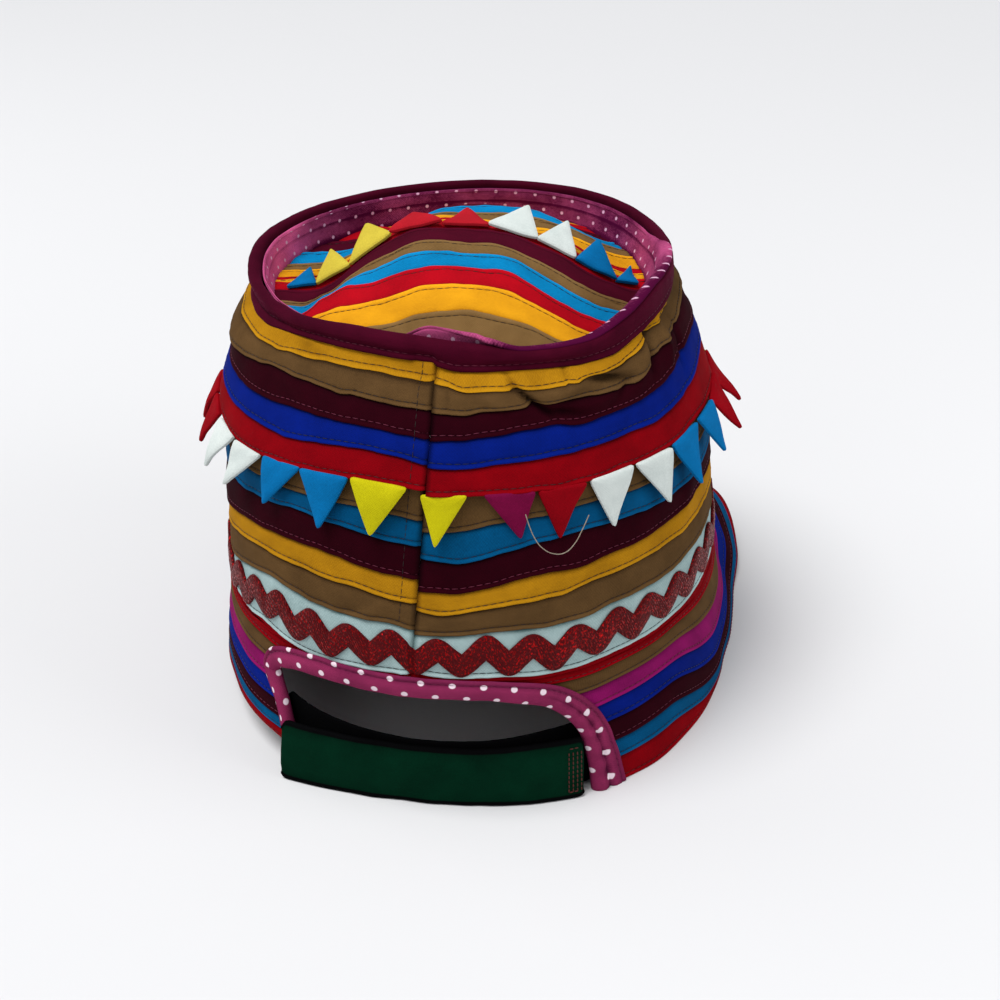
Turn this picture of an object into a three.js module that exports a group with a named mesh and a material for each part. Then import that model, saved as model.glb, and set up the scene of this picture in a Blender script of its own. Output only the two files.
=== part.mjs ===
// A patchwork cloth cap: two pieced tiers, a sunken striped top, rows of folded
// pennants in two of its seams, and a brim cut away at the back over an adjusting
// strap. Millimetres and degrees, +Z up, +Y to the wearer's front.
import * as THREE from "three";

// Cloth and clearances
const CLOTH = 2.0;
const BRIM_CLOTH = 2.4;
const BINDING_CLOTH = 2.2;
const FACING_CLOTH = 1.5;
const ARCH_CLOTH = 2.8;
const GAP = 0.3;

// Heights of the seams above the surface that the cap rests on
const RIM_TOP = 150;
const RIM_SEAM = 141;
const PENNANT_SEAM = 108.8;
const BAND_SEAM = 64.7;
const BRIM_SEAM = 49.7;

// Columns of faces around a ring
const AROUND = 60;

// Ellipses of the outer wall. Angle 0 is the middle of the back, 90 the wearer's right.
// z is the height, half_width and half_depth the half axes, shift_x and shift_y the
// centre, rise how much higher the ring lies for each millimetre towards the front,
// and skew the share by which it is deeper on the right than on the left.
const UPPER_RINGS = [
  { z: 150.0, half_width: 68.3, half_depth: 74.0, shift_x: -5.6, shift_y: 3.4, rise: 0.030, skew: 0.13 },
  { z: 141.0, half_width: 69.8, half_depth: 76.4, shift_x: -5.2, shift_y: 3.0, rise: 0.027, skew: 0.12 },
  { z: 138.0, half_width: 73.0, half_depth: 82.9, shift_x: -4.8, shift_y: 2.3, rise: 0.022, skew: 0.10 },
  { z: 132.5, half_width: 75.4, half_depth: 87.1, shift_x: -4.4, shift_y: 1.7, rise: 0.016, skew: 0.05 },
  { z: 125.1, half_width: 78.0, half_depth: 91.0, shift_x: -4.0, shift_y: 1.1, rise: 0.010, skew: 0.03 },
  { z: 117.6, half_width: 80.5, half_depth: 94.2, shift_x: -3.7, shift_y: 0.6, rise: 0.005, skew: 0.02 },
  { z: 108.8, half_width: 83.3, half_depth: 97.4, shift_x: -3.2, shift_y: 0.0, rise: 0.0, skew: 0.0 },
];
const LOWER_RINGS = [
  { z: 108.8, half_width: 82.4, half_depth: 95.0, shift_x: -3.2, shift_y: 0.0, rise: 0.0, skew: 0.0 },
  { z: 100.0, half_width: 82.8, half_depth: 96.3, shift_x: -2.7, shift_y: 0.0, rise: 0.0, skew: 0.0 },
  { z: 82.0, half_width: 83.6, half_depth: 99.3, shift_x: -1.7, shift_y: 0.0, rise: 0.0, skew: 0.0 },
  { z: 64.7, half_width: 84.4, half_depth: 102.3, shift_x: -0.8, shift_y: 0.0, rise: 0.0, skew: 0.0 },
  { z: 49.7, half_width: 85.0, half_depth: 104.6, shift_x: 0.0, shift_y: 0.0, rise: 0.0, skew: 0.0 },
];

// Folds and dents of the soft upper tier: where each is centred, how far it reaches
// along and up the wall, and how far it stands out of the wall or, if negative, in.
const FOLDS = [
  { deg: -78, z: 135, reach_deg: 26, reach_z: 8, out: 3.2 },
  { deg: 27, z: 136, reach_deg: 12, reach_z: 5, out: -2.6 },
  { deg: 38, z: 130, reach_deg: 14, reach_z: 5, out: 1.8 },
  { deg: 55, z: 133, reach_deg: 9, reach_z: 7, out: -2.2 },
  { deg: 76, z: 137, reach_deg: 10, reach_z: 8, out: 1.6 },
];

// Dome of the sunken top: the height of its trough, how far the middle swells above
// it, where the dome's middle lies and how far it reaches
const TOP_EDGE = 137.5;
const TOP_RISE = 22;
const DOME = { shift_x: -2, shift_y: 3.4, half_width: 56, half_depth: 80, fullness: 1.5 };
const STRIPE_TURN = 8;
const TOP_ROWS = 7;
const TOP_COLUMNS = 22;
const BACK_PANEL_RING = { left: -72, right: 87 };
const FRONT_PANEL_RING = { left: 274, right: 100 };

// Rim: how far the binding's top edge rolls in and over what height, and the facing
// inside the binding
const ROLL_IN = 0.8;
const ROLL_DOWN = 1.2;
const FACING_TOP = 150.7;
const FACING_FOOT = 136.5;

// Brim: how wide it is down its slope, the share of its flare that comes as a curl
// towards the edge, how far the edge stands out of the seam, and how high it hangs at
// least where it is cut shorter towards the left leg
const BRIM_WIDTH = 52.5;
const BRIM_DROP = BRIM_SEAM - GAP;
const BRIM_CURL = 0.3;
const BRIM_ROWS = 7;
const BRIM_COLUMNS = 66;
const BRIM_EDGE = [
  { deg: -180, flare: 42, lift: 0 },
  { deg: -160, flare: 42, lift: 0 },
  { deg: -141, flare: 40, lift: 0 },
  { deg: -126, flare: 29, lift: 0 },
  { deg: -112, flare: 18, lift: 0 },
  { deg: -100, flare: 13, lift: 0 },
  { deg: -90, flare: 9.5, lift: 1 },
  { deg: -80, flare: 6, lift: 4 },
  { deg: -68, flare: 4, lift: 7.5 },
  { deg: -56, flare: 3, lift: 9 },
  { deg: -36, flare: 3.2, lift: 10 },
  { deg: 0, flare: 0, lift: 0 },
  { deg: 36, flare: 3.5, lift: 0 },
  { deg: 55, flare: 6.5, lift: 0 },
  { deg: 75, flare: 7, lift: 0 },
  { deg: 90, flare: 8, lift: 0 },
  { deg: 100, flare: 11, lift: 0 },
  { deg: 115, flare: 18, lift: 0 },
  { deg: 126, flare: 29, lift: 0 },
  { deg: 141, flare: 40, lift: 0 },
  { deg: 160, flare: 42, lift: 0 },
  { deg: 180, flare: 42, lift: 0 },
];

// Cut-out at the back, from the foot of its left leg over the top to the right foot.
// Each row is a place on the outer edge of its binding, and how wide the binding is
// there. It stands a little proud of the brim.
const ARCH = [
  { deg: -32.5, z: 10, wide: 7 },
  { deg: -35.5, z: 19, wide: 7 },
  { deg: -38.2, z: 28, wide: 7 },
  { deg: -38.4, z: 34.5, wide: 7 },
  { deg: -35.5, z: 40.5, wide: 7 },
  { deg: -30, z: 44.6, wide: 7 },
  { deg: -22, z: 47.2, wide: 7 },
  { deg: -12, z: 48.5, wide: 7 },
  { deg: 0, z: 49.0, wide: 7 },
  { deg: 13, z: 48.6, wide: 7 },
  { deg: 23, z: 46.6, wide: 7.5 },
  { deg: 31, z: 42.6, wide: 8 },
  { deg: 37.5, z: 35, wide: 8 },
  { deg: 41.8, z: 25, wide: 8.5 },
  { deg: 44.5, z: 12, wide: 10 },
  { deg: 46, z: 0, wide: 11 },
];
const ARCH_STEPS = 42;
const ARCH_PROUD = 0.5;
const BRIM_START_DEG = 25;
const BRIM_END_DEG = -27;
const LEG_SPREAD = 13;

// Strap across the cut-out: the outer strap is sewn over the left leg, and the strap
// behind it comes from inside the right leg. out is how far the outer face stands out
// of the wall at the two ends and in the middle, where it is pulled straight. bow is
// how much higher the upper edge is at the ends.
const STRAP = {
  from_deg: -31.5, to_deg: 36.4, foot: 0, top: 18.5, bow: 0,
  out_left: 4.4, out_middle: -3.2, out_right: 0.6, thick: 1.8,
};
const STRAP_BACKING = {
  from_deg: -29, to_deg: 44, foot: 1.5, top: 22, bow: 3.5,
  out_left: -3.2, out_middle: -5.4, out_right: -3.2, thick: 1.2,
};
const STRAP_COLUMNS = 24;

// Zigzag braid on the pale band
const BRAID_MIDDLE = 57.4;
const BRAID_WAVES = 37;
const BRAID_STEPS = 8;
const BRAID_CREST_DEG = -3.8;
const BRAID_SWING = 2.8;
const BRAID_WIDE = 6.6;
const BRAID_THICK = 1.1;

// Folded triangular pennants
const PENNANT = { wide: 17.0, long: 16.2, thick: 1.3, blunt: 1.2 };
const PENNANT_DROP = 0.8;
const PENNANT_FIRST_DEG = 8.2;
const PENNANT_PITCH = 17.35;
const SPLAY_BACK = 13;
const SPLAY_SIDE = 12;
const WALL_PENNANTS = [
  "yellow", "magenta", "red", "white", "white", "light_blue", "light_blue", "red",
  "red", "yellow", "yellow", "magenta", "magenta", "red", "white", "white",
  "light_blue", "light_blue", "red", "yellow", "yellow", "magenta", "red", "white",
  "light_blue", "red", "red", "white", "white", "light_blue", "light_blue", "yellow",
];
// Pennants across the top, from the left end: where each base starts and ends along
// the seam, how long it is, and how steeply it is lifted.
const TOP_PENNANTS = [
  { name: "light_blue", from: -63, to: -54.5, long: 15, lift: 4 },
  { name: "yellow", from: -54.5, to: -42, long: 17, lift: 8 },
  { name: "yellow", from: -42, to: -28.5, long: 18, lift: 8 },
  { name: "red", from: -28.5, to: -13, long: 18, lift: 3 },
  { name: "red", from: -13, to: 2, long: 18, lift: 3 },
  { name: "white", from: 2, to: 20, long: 19, lift: 20 },
  { name: "white", from: 20, to: 32.5, long: 18, lift: 12 },
  { name: "light_blue", from: 32.5, to: 46, long: 18, lift: 14 },
  { name: "light_blue", from: 46, to: 54, long: 11, lift: 4 },
];

const COLOURS = {
  maroon: "#4a0a25",
  polka: "#8e2a5a",
  red: "#b0081a",
  light_blue: "#0a7fc0",
  yellow: "#d8c830",
  magenta: "#8e1e60",
  white: "#e4e8e6",
  pale: "#cfdbe0",
  brown: "#6f5630",
  blue: "#0f2a9c",
  glitter: "#8a1015",
  green: "#04331f",
  black: "#0a0a0a",
};

const radians = THREE.MathUtils.degToRad;

function cloth(colour, roughness = 0.85) {
  return new THREE.MeshStandardMaterial({ color: COLOURS[colour], roughness, metalness: 0 });
}

function named(name, geometry, colour) {
  const mesh = new THREE.Mesh(geometry, cloth(colour));
  mesh.name = name;
  return mesh;
}

// Value of one column of a table at a place between its rows, on a smooth curve
// that never overshoots the rows beside it.
function between(table, key, column, place) {
  const last = table.length - 1;
  const step = Math.sign(table[last][key] - table[0][key]);
  let row = 0;
  while (row < last - 1 && (table[row + 1][key] - place) * step < 0) row += 1;
  const slope = (i) => (table[i + 1][column] - table[i][column]) / (table[i + 1][key] - table[i][key]);
  const bend = (i) => {
    if (i <= 0) return slope(0);
    if (i >= last) return slope(last - 1);
    const before = slope(i - 1);
    const after = slope(i);
    return before * after <= 0 ? 0 : (2 * before * after) / (before + after);
  };
  const low = table[row];
  const high = table[row + 1];
  const span = high[key] - low[key];
  const t = THREE.MathUtils.clamp((place - low[key]) / span, 0, 1);
  const rest = 1 - t;
  return low[column] * (1 + 2 * t) * rest * rest + high[column] * (3 - 2 * t) * t * t
    + bend(row) * span * t * rest * rest - bend(row + 1) * span * t * t * rest;
}

function ringAt(rings, z) {
  const ring = { z };
  for (const column of ["half_width", "half_depth", "shift_x", "shift_y", "rise", "skew"]) {
    ring[column] = between(rings, "z", column, z);
  }
  return ring;
}

// Direction that points straight out of an ellipse at an angle, on the level
function outward(ring, deg) {
  const x = Math.sin(radians(deg)) / ring.half_width;
  const y = -Math.cos(radians(deg)) / ring.half_depth;
  return new THREE.Vector3(x, y, 0).normalize();
}

function onRing(ring, deg, out = 0) {
  const point = new THREE.Vector3(
    ring.shift_x + ring.half_width * Math.sin(radians(deg)),
    ring.shift_y - ring.half_depth * Math.cos(radians(deg)) * (1 + ring.skew * Math.sin(radians(deg))),
    ring.z,
  );
  point.addScaledVector(outward(ring, deg), out);
  point.z += ring.rise * point.y;
  return point;
}

function foldAt(deg, z) {
  let out = 0;
  for (const fold of FOLDS) {
    const across = (((deg - fold.deg + 540) % 360) - 180) / fold.reach_deg;
    const up = (z - fold.z) / fold.reach_z;
    out += fold.out * Math.exp(-across * across - up * up);
  }
  return out;
}

// A wall of cloth as one closed solid. grid holds its outer face, row by row from the
// top, each row running anticlockwise seen from above. The wall has the stated
// thickness towards the inside and never dips below the resting surface. A closed
// ring has it on the level, so that its edges stay level and tiers meet edge to edge.
function sheetSolid(grid, thickness, closed) {
  const rows = grid.length;
  const columns = grid[0].length;
  const spans = closed ? columns : columns - 1;
  const positions = [];
  const indices = [];
  const wrap = (j) => (closed ? (j + columns) % columns : THREE.MathUtils.clamp(j, 0, columns - 1));
  for (const row of grid) row.forEach((p) => positions.push(p.x, p.y, p.z));
  for (let i = 0; i < rows; i += 1) {
    for (let j = 0; j < columns; j += 1) {
      const down = grid[Math.min(i + 1, rows - 1)][j].clone().sub(grid[Math.max(i - 1, 0)][j]);
      const along = grid[i][wrap(j + 1)].clone().sub(grid[i][wrap(j - 1)]);
      const face = down.cross(along).normalize();
      if (closed) face.setZ(0).normalize();
      const p = grid[i][j].clone().addScaledVector(face, -thickness);
      positions.push(p.x, p.y, Math.max(p.z, 0));
    }
  }
  const outer = (i, j) => i * columns + wrap(j);
  const inner = (i, j) => rows * columns + outer(i, j);
  const quad = (a, b, c, d) => indices.push(a, b, c, a, c, d);
  for (let j = 0; j < spans; j += 1) {
    for (let i = 0; i < rows - 1; i += 1) {
      quad(outer(i, j), outer(i + 1, j), outer(i + 1, j + 1), outer(i, j + 1));
      quad(inner(i, j), inner(i, j + 1), inner(i + 1, j + 1), inner(i + 1, j));
    }
    quad(outer(0, j), outer(0, j + 1), inner(0, j + 1), inner(0, j));
    quad(outer(rows - 1, j + 1), outer(rows - 1, j), inner(rows - 1, j), inner(rows - 1, j + 1));
  }
  if (!closed) {
    const end = columns - 1;
    for (let i = 0; i < rows - 1; i += 1) {
      quad(outer(i + 1, 0), outer(i, 0), inner(i, 0), inner(i + 1, 0));
      quad(outer(i, end), outer(i + 1, end), inner(i + 1, end), inner(i, end));
    }
  }
  const geometry = new THREE.BufferGeometry();
  geometry.setAttribute("position", new THREE.Float32BufferAttribute(positions, 3));
  geometry.setIndex(indices);
  return geometry;
}

function range(count) {
  return Array.from({ length: count }, (_, i) => i);
}

function spread(from, to, steps) {
  return range(steps + 1).map((i) => THREE.MathUtils.lerp(from, to, i / steps));
}

// Rings of a tier from the top down, at the stated heights
function tierGrid(rings, heights, shape) {
  return heights.map((z) => range(AROUND).map((j) => {
    const deg = (360 * j) / AROUND;
    return onRing(ringAt(rings, z), deg, shape ? shape(deg, z) : 0);
  }));
}

// Upper tier, five strips sewn edge to edge, with its soft folds
function upperCrown() {
  const heights = [RIM_SEAM - GAP, 138, 132.5, 125.1, 117.6, PENNANT_SEAM];
  return sheetSolid(tierGrid(UPPER_RINGS, heights, foldAt), CLOTH, true);
}

// Lower tier, five strips
function lowerCrown() {
  const heights = [PENNANT_SEAM - GAP, 100, 91, 82, 73, BAND_SEAM];
  return sheetSolid(tierGrid(LOWER_RINGS, heights), CLOTH, true);
}

// Pale band at the foot of the lower tier, which carries the braid
function paleBand() {
  const heights = [BAND_SEAM - GAP, 57, BRIM_SEAM];
  return sheetSolid(tierGrid(LOWER_RINGS, heights), CLOTH, true);
}

// Binding that stands round the rim, its top rolled in a little
function rimBinding() {
  const heights = [RIM_TOP, RIM_TOP - ROLL_DOWN, RIM_SEAM];
  const roll = (deg, z) => (z === RIM_TOP ? -ROLL_IN : 0);
  return sheetSolid(tierGrid(UPPER_RINGS, heights, roll), BINDING_CLOTH, true);
}

// Upright facing inside the rim, down to the edge of the sunken top
function facingRing(z) {
  const rim = ringAt(UPPER_RINGS, RIM_TOP);
  const inset = BINDING_CLOTH + ROLL_IN + GAP;
  return { ...rim, z, half_width: rim.half_width - inset, half_depth: rim.half_depth - inset };
}

function rimFacing() {
  const grid = [FACING_TOP, 146, 142, FACING_FOOT].map((z) => range(AROUND).map((j) => (
    onRing(facingRing(z), (360 * j) / AROUND)
  )));
  return sheetSolid(grid, FACING_CLOTH, true);
}

// Height of the top's outer face, a dome that flattens out into a trough at the facing
function domeAt(x, y) {
  const away = Math.hypot((x - DOME.shift_x) / DOME.half_width, (y - DOME.shift_y) / DOME.half_depth);
  const swell = Math.cos((Math.PI / 2) * Math.min(away, 1) ** DOME.fullness) ** 2;
  return TOP_EDGE + TOP_RISE * swell + facingRing(RIM_TOP).rise * y;
}

// The top is two pieced panels that meet in the seam with the pennants. Along the seam
// and across it are the two directions of this frame, turned a little, as it is sewn.
function topPoint(along, across) {
  const turn = radians(STRIPE_TURN);
  const x = along * Math.cos(turn) - across * Math.sin(turn);
  const y = along * Math.sin(turn) + across * Math.cos(turn);
  return new THREE.Vector3(x, y, domeAt(x, y));
}

function topEdge(deg) {
  const ring = facingRing(RIM_TOP);
  const turn = radians(STRIPE_TURN);
  const { x, y } = onRing(ring, deg, -FACING_CLOTH - 2 * GAP);
  return {
    along: x * Math.cos(turn) + y * Math.sin(turn),
    across: y * Math.cos(turn) - x * Math.sin(turn),
  };
}

// One panel, between the seam and the facing. Its rows run from the far side of the
// frame to the near side, so that the outer face is the upper one.
function topPanel(ring, side) {
  const grid = range(TOP_ROWS + 1).map((i) => spread(ring.left, ring.right, TOP_COLUMNS).map((deg) => {
    const edge = topEdge(deg);
    const part = side > 0 ? 1 - i / TOP_ROWS : i / TOP_ROWS;
    return topPoint(edge.along, THREE.MathUtils.lerp((side * GAP) / 2, edge.across, part));
  }));
  return sheetSolid(grid, CLOTH, false);
}

// Brim: how far its slope goes down, a place on its outer face, and its lower edge
function brimDrop(deg) {
  const flare = between(BRIM_EDGE, "deg", "flare", deg);
  return Math.min(BRIM_DROP, Math.sqrt(BRIM_WIDTH ** 2 - flare ** 2));
}

function brimPoint(deg, z, out = 0) {
  const down = (BRIM_SEAM - z) / brimDrop(deg);
  const curve = THREE.MathUtils.lerp(down, down * down, BRIM_CURL);
  const flare = between(BRIM_EDGE, "deg", "flare", deg) * curve;
  const point = onRing(ringAt(LOWER_RINGS, BRIM_SEAM), deg, flare + out);
  point.z = z;
  return point;
}

function brimFoot(deg) {
  const lift = between(BRIM_EDGE, "deg", "lift", deg);
  return Math.max(lift, BRIM_SEAM - GAP - brimDrop(deg));
}

// Outer edge of the cut-out's binding as a run of places, moved out or in by an amount
// along the wall. MM_PER_DEG turns degrees at the back into millimetres.
const BACK_RADIUS = 90;
const MM_PER_DEG = radians(1) * BACK_RADIUS;

function archPath(steps, inset) {
  const points = ARCH.map((row) => new THREE.Vector3(row.deg * MM_PER_DEG, row.z, row.wide));
  const curve = new THREE.CatmullRomCurve3(points, false, "centripetal");
  return spread(0, 1, steps).map((t) => {
    const place = curve.getPointAt(t);
    const ahead = curve.getTangentAt(t);
    const across = new THREE.Vector2(ahead.y, -ahead.x).normalize().multiplyScalar(inset(place.z));
    return { deg: (place.x + across.x) / MM_PER_DEG, z: Math.max(place.y + across.y, 0) };
  });
}

// The brim starts beside the cut-out's right leg, runs round the front and ends at the
// left leg. Beside the cut-out its foot follows the edge of the binding, and each
// column's upper end is set away from the cut-out, more so towards the leg's foot.
function brim() {
  const edge = archPath(ARCH_STEPS, () => -3 * GAP);
  const half = Math.floor(edge.length / 2);
  const leftLeg = edge.slice(0, half).filter((p) => p.deg < BRIM_END_DEG);
  const rightLeg = edge.slice(half).filter((p) => p.deg > BRIM_START_DEG);
  const apart = (leg, j) => LEG_SPREAD * (j / (leg.length - 1)) ** 2;
  const right = rightLeg.map((p, j) => ({ top: p.deg + apart(rightLeg, j), deg: p.deg, z: p.z }));
  const left = leftLeg.map((p, j) => (
    { top: p.deg + 360 - apart(leftLeg, leftLeg.length - 1 - j), deg: p.deg + 360, z: p.z }
  ));
  const tops = spread(right.at(-1).top, left[0].top, BRIM_COLUMNS);
  const round = spread(right.at(-1).deg, left[0].deg, BRIM_COLUMNS).map((deg, j) => (
    { top: tops[j], deg, z: brimFoot(deg > 180 ? deg - 360 : deg) }
  ));
  const columns = [...right, ...round.slice(1, -1), ...left];
  const grid = spread(0, 1, BRIM_ROWS).map((part) => columns.map((column) => {
    const deg = THREE.MathUtils.lerp(column.top, column.deg, part);
    const z = THREE.MathUtils.lerp(BRIM_SEAM - GAP, column.z, part);
    return brimPoint(deg > 180 ? deg - 360 : deg, z);
  }));
  return sheetSolid(grid, BRIM_CLOTH, false);
}

// Binding of the cut-out, a folded strip from foot to foot
function archBinding() {
  const outerEdge = archPath(ARCH_STEPS, () => 0);
  const middle = archPath(ARCH_STEPS, (wide) => wide / 2);
  const innerEdge = archPath(ARCH_STEPS, (wide) => wide);
  const grid = [outerEdge, middle, innerEdge].map((edge) => edge.map((p) => brimPoint(p.deg, p.z, ARCH_PROUD)));
  return sheetSolid(grid, ARCH_CLOTH, false);
}

// Strap: a level strip pulled straight between its ends
function strapSolid(strap) {
  const grid = [0, 0.5, 1].map((part) => spread(-1, 1, STRAP_COLUMNS).map((along) => {
    const deg = THREE.MathUtils.lerp(strap.from_deg, strap.to_deg, (1 + along) / 2);
    const end = THREE.MathUtils.lerp(strap.out_left, strap.out_right, (1 + along) / 2);
    const out = THREE.MathUtils.lerp(strap.out_middle, end, along * along);
    const top = strap.top + strap.bow * along * along;
    return brimPoint(deg, THREE.MathUtils.lerp(top, strap.foot, part), out);
  }));
  return sheetSolid(grid, strap.thick, false);
}

// Braid: a flat tape that swings up and down round the band
function braid() {
  const count = BRAID_WAVES * BRAID_STEPS;
  const grid = [1, -1].map((side) => range(count).map((j) => {
    const swing = BRAID_SWING * Math.cos((2 * Math.PI * j) / BRAID_STEPS);
    const z = BRAID_MIDDLE + swing + (side * BRAID_WIDE) / 2;
    return onRing(ringAt(LOWER_RINGS, z), BRAID_CREST_DEG + (360 * j) / count, GAP + BRAID_THICK);
  }));
  return sheetSolid(grid, BRAID_THICK, true);
}

// A pennant lies flat in this outline, its base at the top, its blunt point below
function pennantGeometry(wide, long, thick) {
  const blunt = PENNANT.blunt;
  const outline = new THREE.Shape();
  outline.moveTo(-wide / 2, 0);
  outline.lineTo(-blunt, long - blunt);
  outline.quadraticCurveTo(0, long + blunt, blunt, long - blunt);
  outline.lineTo(wide / 2, 0);
  outline.closePath();
  const geometry = new THREE.ExtrudeGeometry(outline, { depth: thick, bevelEnabled: false, curveSegments: 3 });
  return geometry.translate(0, 0, -thick / 2);
}

// Puts a pennant where its base belongs: along its base, and the way it points
function placePennant(mesh, base, along, pointing) {
  const x = along.clone().normalize();
  const y = pointing.clone().addScaledVector(x, -pointing.dot(x)).normalize();
  const z = x.clone().cross(y);
  mesh.quaternion.setFromRotationMatrix(new THREE.Matrix4().makeBasis(x, y, z));
  mesh.position.copy(base);
}

function wallPennants() {
  const ring = ringAt(LOWER_RINGS, PENNANT_SEAM);
  let deg = PENNANT_FIRST_DEG;
  return WALL_PENNANTS.map((colour, i) => {
    const geometry = pennantGeometry(PENNANT.wide, PENNANT.long, PENNANT.thick);
    const name = `pennant_${String(i + 1).padStart(2, "0")}_${colour}`;
    const mesh = named(name, geometry, colour);
    const out = outward(ring, deg);
    const base = onRing({ ...ring, z: PENNANT_SEAM - PENNANT_DROP }, deg, GAP + PENNANT.thick);
    const splay = radians(SPLAY_BACK + SPLAY_SIDE * Math.sin(radians(deg)) ** 2);
    const pointing = out.clone().multiplyScalar(Math.sin(splay));
    pointing.z = -Math.cos(splay);
    placePennant(mesh, base, new THREE.Vector3(-out.y, out.x, 0), pointing);
    const speed = Math.hypot(
      ring.half_width * Math.cos(radians(deg)),
      ring.half_depth * Math.sin(radians(deg)),
    );
    deg += THREE.MathUtils.radToDeg(PENNANT_PITCH / speed);
    return mesh;
  });
}

function topPennants() {
  return TOP_PENNANTS.map((row, i) => {
    const left = topPoint(row.from + GAP, 0);
    const right = topPoint(row.to - GAP, 0);
    const centre = topPoint((row.from + row.to) / 2, 0);
    const base = left.clone().add(right).multiplyScalar(0.5);
    base.z = Math.max(base.z, centre.z) + PENNANT.thick + GAP;
    const pointing = topPoint((row.from + row.to) / 2, 1).sub(centre).setZ(0).normalize();
    pointing.z = Math.tan(radians(row.lift));
    const geometry = pennantGeometry(left.distanceTo(right), row.long, PENNANT.thick);
    const mesh = named(`top_pennant_${i + 1}_${row.name}`, geometry, row.name);
    placePennant(mesh, base, left.sub(right), pointing);
    return mesh;
  });
}

const cap = new THREE.Group();
cap.add(
  named("top_back_panel", topPanel(BACK_PANEL_RING, -1), "brown"),
  named("top_front_panel", topPanel(FRONT_PANEL_RING, 1), "red"),
  named("rim_binding", rimBinding(), "maroon"),
  named("rim_facing", rimFacing(), "polka"),
  named("upper_crown", upperCrown(), "blue"),
  named("lower_crown", lowerCrown(), "light_blue"),
  named("pale_band", paleBand(), "pale"),
  named("zigzag_braid", braid(), "glitter"),
  named("brim", brim(), "magenta"),
  named("arch_binding", archBinding(), "polka"),
  named("strap", strapSolid(STRAP), "green"),
  named("strap_backing", strapSolid(STRAP_BACKING), "black"),
  ...wallPennants(),
  ...topPennants(),
);

// The frame's origin is under the middle of the cap, on the surface it rests on
const extent = new THREE.Box3().setFromObject(cap, true);
const middle = extent.getCenter(new THREE.Vector3());
cap.position.set(-middle.x, -middle.y, -extent.min.z);

export default cap;
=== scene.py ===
# A patchwork cloth cap: two tiers of sewn cotton strips, a sunken striped top, folded
# pennants in two seams, a glitter braid, and a brim cut away at the back over a strap.
# Sizes on the cloth are in millimetres and degrees; degree 0 is the middle of the back.
import math

import bpy
import numpy as np
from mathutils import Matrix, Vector, noise


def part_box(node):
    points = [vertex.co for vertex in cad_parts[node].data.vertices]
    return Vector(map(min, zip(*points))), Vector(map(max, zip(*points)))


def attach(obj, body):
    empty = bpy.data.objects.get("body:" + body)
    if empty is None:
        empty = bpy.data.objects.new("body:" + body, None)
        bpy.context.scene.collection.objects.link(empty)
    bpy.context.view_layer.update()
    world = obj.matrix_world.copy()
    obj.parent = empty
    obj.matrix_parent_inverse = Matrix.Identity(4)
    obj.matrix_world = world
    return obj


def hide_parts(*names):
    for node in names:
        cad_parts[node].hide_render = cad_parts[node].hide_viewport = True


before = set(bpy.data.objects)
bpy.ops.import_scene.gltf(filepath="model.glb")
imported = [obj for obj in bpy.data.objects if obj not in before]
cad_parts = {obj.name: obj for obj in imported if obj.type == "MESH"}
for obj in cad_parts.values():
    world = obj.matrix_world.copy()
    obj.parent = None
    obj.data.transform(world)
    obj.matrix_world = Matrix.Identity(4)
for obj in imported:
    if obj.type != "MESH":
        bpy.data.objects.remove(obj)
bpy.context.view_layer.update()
bpy.ops.object.select_all(action="DESELECT")

# Camera: behind the cap, turned a little to its right side and looking down on it.
bpy.ops.object.camera_add(
    location=(0.0988, -0.543, 0.3366),
    rotation=(math.radians(62.31), math.radians(-1.13), math.radians(10.27)),
)
camera = bpy.context.object
camera.data.lens = 60.1
camera.data.sensor_width = 36.0
bpy.context.scene.camera = camera

# Floor and light: a pale matt floor under a wide soft light from above, with three weak
# lamps behind the camera and at both sides, so that the wall falls into soft shade.
def new_material(name):
    """A material, with its tree of nodes and its shader."""
    material = bpy.data.materials.new(name)
    material.use_nodes = True
    return material, material.node_tree, material.node_tree.nodes["Principled BSDF"]


def feed(tree, node, feeds):
    """Sets a node's inputs, each to a value or from another node's output."""
    for label, value in feeds.items():
        if isinstance(value, bpy.types.NodeSocket):
            tree.links.new(value, node.inputs[label])
        else:
            node.inputs[label].default_value = value


bpy.ops.mesh.primitive_plane_add(size=40.0, location=(0, 0, 0))
floor = bpy.context.object
floor.name = "floor"
floor_paint, floor_tree, floor_shader = new_material("floor_paint")
feed(floor_tree, floor_shader, {"Base Color": (0.70, 0.70, 0.71, 1), "Roughness": 0.9})
floor.data.materials.append(floor_paint)

bpy.ops.object.light_add(type="SUN", rotation=(math.radians(14), math.radians(-16), 0))
daylight = bpy.context.object
daylight.name = "daylight"
daylight.data.energy = 2.6
daylight.data.angle = math.radians(35)
for lamp_name, place, aim, size, watts in [
    ("back_light", (-0.45, -1.0, 0.7), (0, 0, 0.12), 0.6, 1.2),
    ("right_light", (1.0, -0.15, 0.55), (0, 0, 0.1), 0.8, 4.0),
    ("left_light", (-1.0, 0.1, 0.6), (0, 0, 0.1), 0.8, 2.5),
]:
    bpy.ops.object.light_add(type="AREA", location=place)
    lamp = bpy.context.object
    lamp.name = lamp_name
    lamp.data.size = size
    lamp.data.energy = watts
    toward = Vector(aim) - Vector(place)
    lamp.rotation_euler = toward.to_track_quat("-Z", "Y").to_euler()
world = bpy.data.worlds.new("room")
bpy.context.scene.world = world
world.use_nodes = True
sky = world.node_tree.nodes["Background"]
feed(world.node_tree, sky, {"Color": (0.95, 0.97, 1.0, 1), "Strength": 0.36})
bpy.context.scene.view_settings.view_transform = "Standard"


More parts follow.
